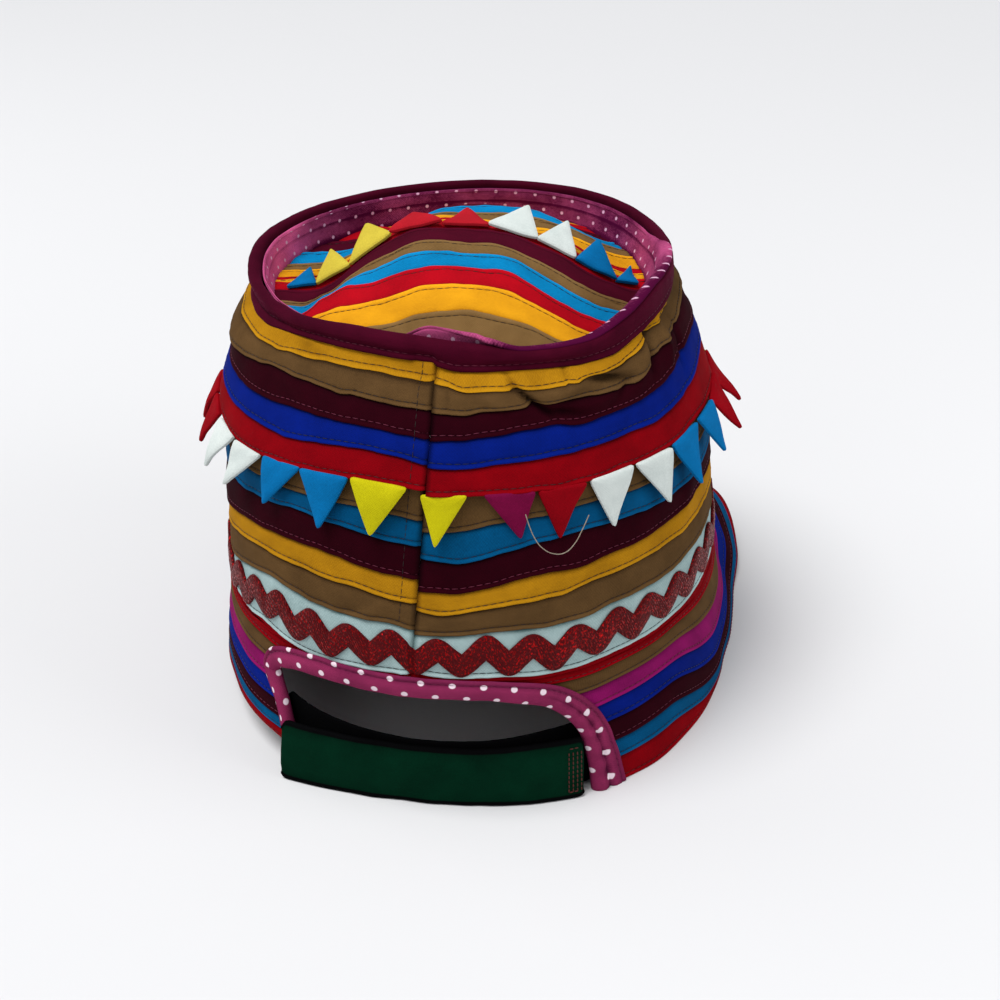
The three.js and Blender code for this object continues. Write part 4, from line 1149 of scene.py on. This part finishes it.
# Binding of the cut-out: polka-dot cotton folded over the brim's edge from foot to
# foot, topstitched near its outer fold.
ARCH = [  # degree, height, width
    (-30.5, 10, 3.8), (-32.4, 19, 4.0), (-35.8, 28, 5.0), (-38.4, 35, 6.6), (-36, 41.5, 7),
    (-30.5, 46.0, 7.5), (-22, 48.6, 7.5), (-12, 49.7, 7.5), (0, 50.1, 7.5), (13, 49.4, 7),
    (23, 47.2, 7.5), (31, 43.0, 8), (37.5, 35, 8.5), (41.8, 25, 9), (44.5, 12, 10), (46, 0.4, 11),
]
ARCH_MM = math.radians(1) * 90  # length of a degree there
TAPE_LOWEST = 0.05  # the binding and the straps come no nearer the floor
ARCH_NEAR = 1.5  # its direction is taken between places so far before and behind
ARCH_PROFILE = [  # mm inwards from the outer edge or share of the width, out, painted shade, share of the pleat
    (0.2, 0, -0.1, 0.5, 0), (-0.3, 0, 0.7, 0.3, 0), (-0.1, 0, 1.2, 0.25, 0), (0.5, 0, 1.35, 0.2, 0),
    (1.0, 0, 1.25, 0.3, 0), (1.35, 0, 1.05, 0.6, 0), (1.7, 0, 1.3, 0.2, 0), (0, 0.34, 1.75, 0.0, 0),
    (0, 0.44, 1.9, 0.0, 0.3), (0, 0.5, 1.95, 0.0, 1), (0, 0.56, 1.95, 0.0, 0.5), (0, 0.7, 1.8, 0.0, -0.3),
    (0, 0.83, 1.5, 0.0, -0.3), (0, 0.94, 0.9, 0.0, 0), (0, 1.0, 0.0, 0.1, 0), (0, 1.0, -1.1, 0.3, 0),
    (0, 0.92, -1.9, 0.5, 0), (0, 0.7, -2.3, 0.7, 0),
]


def arch_run(steps):
    """Places, inward directions and widths along the cut-out's edge, evenly spaced."""
    flat = [(d * ARCH_MM, z, w) for d, z, w in ARCH]
    far = [0.0]
    for a, b in zip(flat, flat[1:]):
        far.append(far[-1] + math.hypot(b[0] - a[0], b[1] - a[1]))
    table = [(f, *p) for f, p in zip(far, flat)]
    run = []
    for i in range(steps + 1):
        at = far[-1] * i / steps
        x, z, wide = (curve_through(table, at, c) for c in (1, 2, 3))
        x0, z0 = (curve_through(table, max(at - ARCH_NEAR, 0), c) for c in (1, 2))
        x1, z1 = (curve_through(table, min(at + ARCH_NEAR, far[-1]), c) for c in (1, 2))
        size = math.hypot(x1 - x0, z1 - z0)
        run.append((x, z, (z1 - z0) / size, -(x1 - x0) / size, wide))
    return run


ARCH_RUN = arch_run(150)
ARCH_PLEAT = (104, 124, 1.0)  # steps where the right leg's pleat starts and is full, its depth


def arch_place(step, inset, out):
    """A place on the binding, so far in from its outer edge and out of the wall."""
    x, z, dx, dz, _ = ARCH_RUN[step]
    height = max(z + dz * inset, TAPE_LOWEST)
    return brim_place((x + dx * inset) / ARCH_MM, height, out)


def pleated(step, part):
    """How deep the right leg's lengthwise pleat and the small tucks beside it are."""
    start, full, deep = ARCH_PLEAT
    grown = min(1.0, max(0.0, (step - start) / (full - start)))
    tucks = 0.35 * math.sin(step * 1.1 + 2 * noise.noise(Vector((step / 5, 0, 0)))) if part else 0.0
    return grown * (deep * part + tucks)


arch_grid, arch_painted_shading = [], []
for near, share, out, depth, part in ARCH_PROFILE:
    arch_grid.append([arch_place(i, near + share * ARCH_RUN[i][4] + ripple(i, near, 2, 6.0, 0.25),
                                 out - pleated(i, part) + ripple(i, share * 9, 8, 5.0, 0.3))
                      for i in range(len(ARCH_RUN))])
    # Painted shade of each row, deeper in the right leg's pleat.
    arch_painted_shading.append([depth + 0.6 * max(0.0, pleated(i, part)) for i in range(len(ARCH_RUN))])
arch_made = (np.array(arch_grid), [0] * len(ARCH_PROFILE), np.array(arch_painted_shading))
ARCH_PRINT = dotted("polka_dot_binding", "96305A", "4C1230", "E6D2DC", 9.6, 5.0, 2.7, 1.05)
arch = cloth_piece("arch_binding_cloth", arch_made, (ARCH_PRINT,), 0.6)
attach(arch, "root")
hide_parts("arch_binding")


# Straps: dark green loop tape between black rolled edges, sewn to the left leg, over a
# plain black strap that comes from inside the right leg.
STRAP_PROFILE = [  # mm down or share of the height, out, material, painted shade
    (0.3, 0, -1.2, 0, 0.3), (0.0, 0, -0.5, 0, 0.0), (0.0, 0, 0.1, 0, 0.0), (0.4, 0, 0.6, 0, 0.0),
    (1.1, 0, 0.65, 0, 0.0), (1.5, 0, 0.3, 1, 0.6), (2.0, 0, 0.2, 1, 0.2), (0, 0.25, 0.35, 1, 0.0),
    (0, 0.5, 0.45, 1, 0.0), (0, 0.75, 0.35, 1, 0.0), (-2.0, 1, 0.2, 1, 0.2), (-1.5, 1, 0.3, 0, 0.6),
    (-1.1, 1, 0.65, 0, 0.0), (-0.4, 1, 0.6, 0, 0.0), (0.0, 1, 0.1, 0, 0.0), (0.0, 1, -0.5, 0, 0.0),
    (-0.3, 1, -1.2, 0, 0.3),
]
BACKING_PROFILE = [
    (0.2, 0, -0.6, 0, 0.2), (0, 0, 0.0, 0, 0), (0.6, 0, 0.3, 0, 0), (0, 0.3, 0.3, 0, 0),
    (0, 0.6, 0.3, 0, 0), (-0.6, 1, 0.3, 0, 0), (0, 1, 0.0, 0, 0), (-0.2, 1, -0.6, 0, 0.2),
]


def strap_place(shape, along, height, out):
    """A place on a strap, where along goes from -1 at its left end to 1."""
    start, end, _, _, _, out_left, out_middle, out_right = shape
    deg = start + (end - start) * (1 + along) / 2
    edge = out_left + (out_right - out_left) * (1 + along) / 2
    return brim_place(deg, height, out_middle + (edge - out_middle) * along * along + out)


STRAP_HALF, STRAP_CORNER = 54.0, 2.0  # half its length, how round its corners are


def strap_rows(shape, profile, columns):
    """Rows of places along a strap, from its upper edge to its lower."""
    _, _, foot, top, bow, _, _, _ = shape
    grid, strips, painted_shading = [], [], []
    for down, share, out, dye, depth in profile:
        row = []
        for j in range(columns + 1):
            along = 2 * j / columns - 1
            from_end = (1 - abs(along)) * STRAP_HALF
            short = max(0.0, STRAP_CORNER - from_end)
            rounded = STRAP_CORNER - math.sqrt(STRAP_CORNER ** 2 - short ** 2)
            high = top + bow * along * along - rounded
            low = foot + 0.06 + 0.6 * rounded
            height = high + (low - high) * share - down
            soft = ripple(along * 12, height * 0.6, 41, 2.5, 0.5) + ripple(along * 40, height, 9, 3.0, 0.12)
            row.append(strap_place(shape, along, max(height, TAPE_LOWEST), out + soft))
        grid.append(row)
        strips.append(dye)
        painted_shading.append([depth] * (columns + 1))
    return np.array(grid), strips, np.array(painted_shading)


# Degrees of its ends, foot, top, rise to the ends, and how far out of the brim it is at its
# left end, in the middle and at its right end
STRAP = (-28.7, 36.4, 0, 21.8, 0.6, 4.6, -3.0, 0.8)
BACKING = (-34, 44, 1.5, 22.6, 3.5, -4.0, -5.6, -3.2)
BLACK = cotton("black_tape", "070708", "020203", 0.5)
GREEN = cotton("green_loop_tape", "032D1C", "01120A", 0.3)
strap = cloth_piece("strap_tape", strap_rows(STRAP, STRAP_PROFILE, 120), (BLACK, GREEN), 1.0)
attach(strap, "root")
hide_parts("strap")
backing = cloth_piece("strap_backing_tape", strap_rows(BACKING, BACKING_PROFILE, 60), (BLACK,), 0.9)
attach(backing, "root")
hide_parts("strap_backing")


# Topstitching: dark and wine-red thread a little above every folded edge, down beside the back
# seam, round the rim and along the bindings. Each stitch is a short raised thread.
def in_order(mesh):
    """A mesh's corners and faces, sorted so that they come in one order each time."""
    corners = np.array([v.co for v in mesh.vertices])
    order = np.lexsort(corners.round(4).T)
    place = np.argsort(order).tolist()
    faces = []
    for polygon in mesh.polygons:
        face = [place[i] for i in polygon.vertices]
        first = face.index(min(face))
        faces.append(tuple(face[first:] + face[:first]))
    return corners[order], sorted(faces)


bpy.ops.mesh.primitive_uv_sphere_add(segments=6, ring_count=4, radius=0.5, location=(0, 0, 0))
stitch = bpy.context.object
STITCH_VERTS, STITCH_FACES = in_order(stitch.data)
bpy.data.objects.remove(stitch)
ON_FACE = 0.06  # how far a stitch's middle is off the cloth


def thread(name, colour, shade):
    """Twisted sewing thread, on the piece's own coordinates."""
    material, tree, shader = new_material(name)
    twist = put(tree, "TexNoise", {"Vector": put(tree, "TexCoord").outputs["Object"], "Scale": 900.0})
    mix = put(tree, "Mix", {"Factor": twist.outputs["Fac"], "A": srgb(shade), "B": srgb(colour)},
              data_type="RGBA")
    feed(tree, shader, {"Base Color": mix.outputs["Result"], "Roughness": 0.6, "Specular IOR Level": 0.3})
    return material


def sew(name, runs, long=2.2, gap=0.3, thick=0.26):
    """Stitches along runs of places, each run with its thread; each place comes with a
    place straight above it."""
    verts, faces, dyes = [], [], []
    threads = list(dict.fromkeys(material for material, _ in runs))
    for material, run in runs:
        spots = np.array([p for p, _ in run])
        above = np.array([q for _, q in run])
        far = np.concatenate([[0], np.cumsum(np.linalg.norm(np.diff(spots, axis=0), axis=1))]) / MM
        for k in range(int(far[-1] / (long + gap))):
            start = k * (long + gap) + gap / 2
            tips = (start, start + long)
            a, b = (np.array([np.interp(at, far, spots[:, c]) for c in range(3)]) for at in tips)
            up = np.array([np.interp(start + long / 2, far, above[:, c] - spots[:, c]) for c in range(3)])
            ahead = (b - a) / np.linalg.norm(b - a)
            up -= ahead * up.dot(ahead)
            up /= np.linalg.norm(up)
            side = np.cross(up, ahead)
            at = len(verts)
            shape = STITCH_VERTS * (np.linalg.norm(b - a), thick * MM, thick * 0.9 * MM)
            for x, y, z in shape:
                verts.append((a + b) / 2 + ahead * x + side * y + up * z)
            faces += [tuple(at + i for i in f) for f in STITCH_FACES]
            dyes += [threads.index(material)] * len(STITCH_FACES)
    mesh = bpy.data.meshes.new(name)
    mesh.from_pydata([(x, y, max(z, FLOOR_GAP)) for x, y, z in verts], [], faces)
    mesh.polygons.foreach_set("use_smooth", [True] * len(faces))
    mesh.polygons.foreach_set("material_index", dyes)
    for material in threads:
        mesh.materials.append(material)
    piece = bpy.data.objects.new(name, mesh)
    bpy.context.scene.collection.objects.link(piece)
    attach(piece, "root")


def lifted(line, crossing, above):
    """A run a little off a face, each place with the one straight above it."""
    up = np.cross(crossing, np.gradient(line, axis=0))
    up /= np.linalg.norm(up, axis=1)[:, None]
    return [(p + u * above * MM, p + u * MM * (1 + above)) for p, u in zip(line, up)]


def along_grid(rows, row, above=ON_FACE):
    """A run along one row of a piece's places."""
    grid = rows[0]
    return lifted(grid[row], grid[min(row + 2, len(grid) - 1)] - grid[max(row - 2, 0)], above)


def down_grid(rows, column, first, last):
    """A run down one column of a piece's places, such as beside the back seam."""
    grid = rows[0][first:last]
    return lifted(grid[:, column], grid[:, column - 2] - grid[:, column + 2], ON_FACE)


WINE = thread("wine_thread", "741A3A", "3C0A1E")
DARK = thread("dark_thread", "24100C", "0E0605")
NAVY = thread("navy_thread", "0C1436", "040818")
CRIMSON = thread("crimson_thread", "4E0610", "260308")
PINK = thread("pink_thread", "8A2450", "561432")
RUST = thread("rust_thread", "5E1E18", "340E0C")
PER_STRIP = len(STRIP_PROFILE)
DIP, RIM_DIP, ARCH_DIP = 9, 12, 5  # rows of the profiles that the stitches draw in
for name, rows, threads in [
    ("upper_stitches", upper_rows, (DARK, DARK, WINE, NAVY, CRIMSON)),
    ("lower_stitches", lower_rows, (DARK, NAVY, WINE, DARK, DARK)),
    ("brim_stitches", brim_made, (CRIMSON, DARK, WINE, NAVY, WINE, NAVY, CRIMSON)),
    ("top_back_stitches", top_made[0], (DARK,) * 7), ("top_front_stitches", top_made[1], (DARK,) * 8),
]:
    runs = [(dye, along_grid(rows, s * PER_STRIP + DIP)) for s, dye in enumerate(threads)]
    if name in ("upper_stitches", "lower_stitches"):
        runs.append((DARK, down_grid(rows, TIER_COLUMNS - 3, 2, len(rows[0]) - 2)))
    sew(name, runs)
sew("band_stitches", [(DARK, along_grid(band_rows, DIP))], gap=0.1)
sew("rim_stitches", [(WINE, along_grid(rim_made, RIM_DIP))])
sew("arch_stitches", [(PINK, along_grid(arch_made, ARCH_DIP, 0.0))], thick=0.2)
BAR_TACK = (0.905, 0.932, 0.959, 0.985)  # lines of stitches at the strap's right end
tack_heights = np.linspace(2.4, 19.2, 14)
tack_widths = np.linspace(BAR_TACK[0], BAR_TACK[-1], 5)
tacks = [[(along, high) for high in tack_heights] for along in BAR_TACK]
tacks += [[(along, high) for along in tack_widths] for high in (2.6, 18.9)]
tack_runs = [(RUST, [(Vector(strap_place(STRAP, *spot, 0.5)), Vector(strap_place(STRAP, *spot, 1.5)))
                     for spot in spots]) for spots in tacks]
sew("strap_stitches", tack_runs, long=1.5, gap=0.2, thick=0.5)


# Loose thread: a pale end of sewing thread, left over from the pennants' seam. It comes out
# of the seam, hangs in a loop and goes back under it.
THREAD_RUN = [  # degree, height, how far out of the wall
    (24.0, 102.5, 2.6), (24.6, 99.0, 3.0), (25.6, 95.0, 3.2), (27.2, 91.4, 3.2), (29.6, 89.0, 3.2),
    (31.8, 88.8, 3.4), (33.8, 91.0, 3.6), (35.6, 94.6, 3.4), (37.4, 98.6, 3.0),
]
# Its thickness in metres
THREAD_THICK = 0.00032
line = bpy.data.curves.new("loose_thread", "CURVE")
line.dimensions = "3D"
line.bevel_depth = THREAD_THICK / 2
line.bevel_resolution = 1
line.resolution_u = 6
line.use_fill_caps = True
spline = line.splines.new("BEZIER")
spline.bezier_points.add(len(THREAD_RUN) - 1)
for knot, (deg, height, out) in zip(spline.bezier_points, THREAD_RUN):
    knot.co = wall_place(LOWER_WALL, deg, height, out)
    knot.handle_left_type = knot.handle_right_type = "AUTO"
loose = bpy.data.objects.new("loose_thread", line)
bpy.context.scene.collection.objects.link(loose)
line.materials.append(thread("pale_thread", "A89C8C", "6E6252"))
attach(loose, "root")
list(spline.bezier_points[0].co)
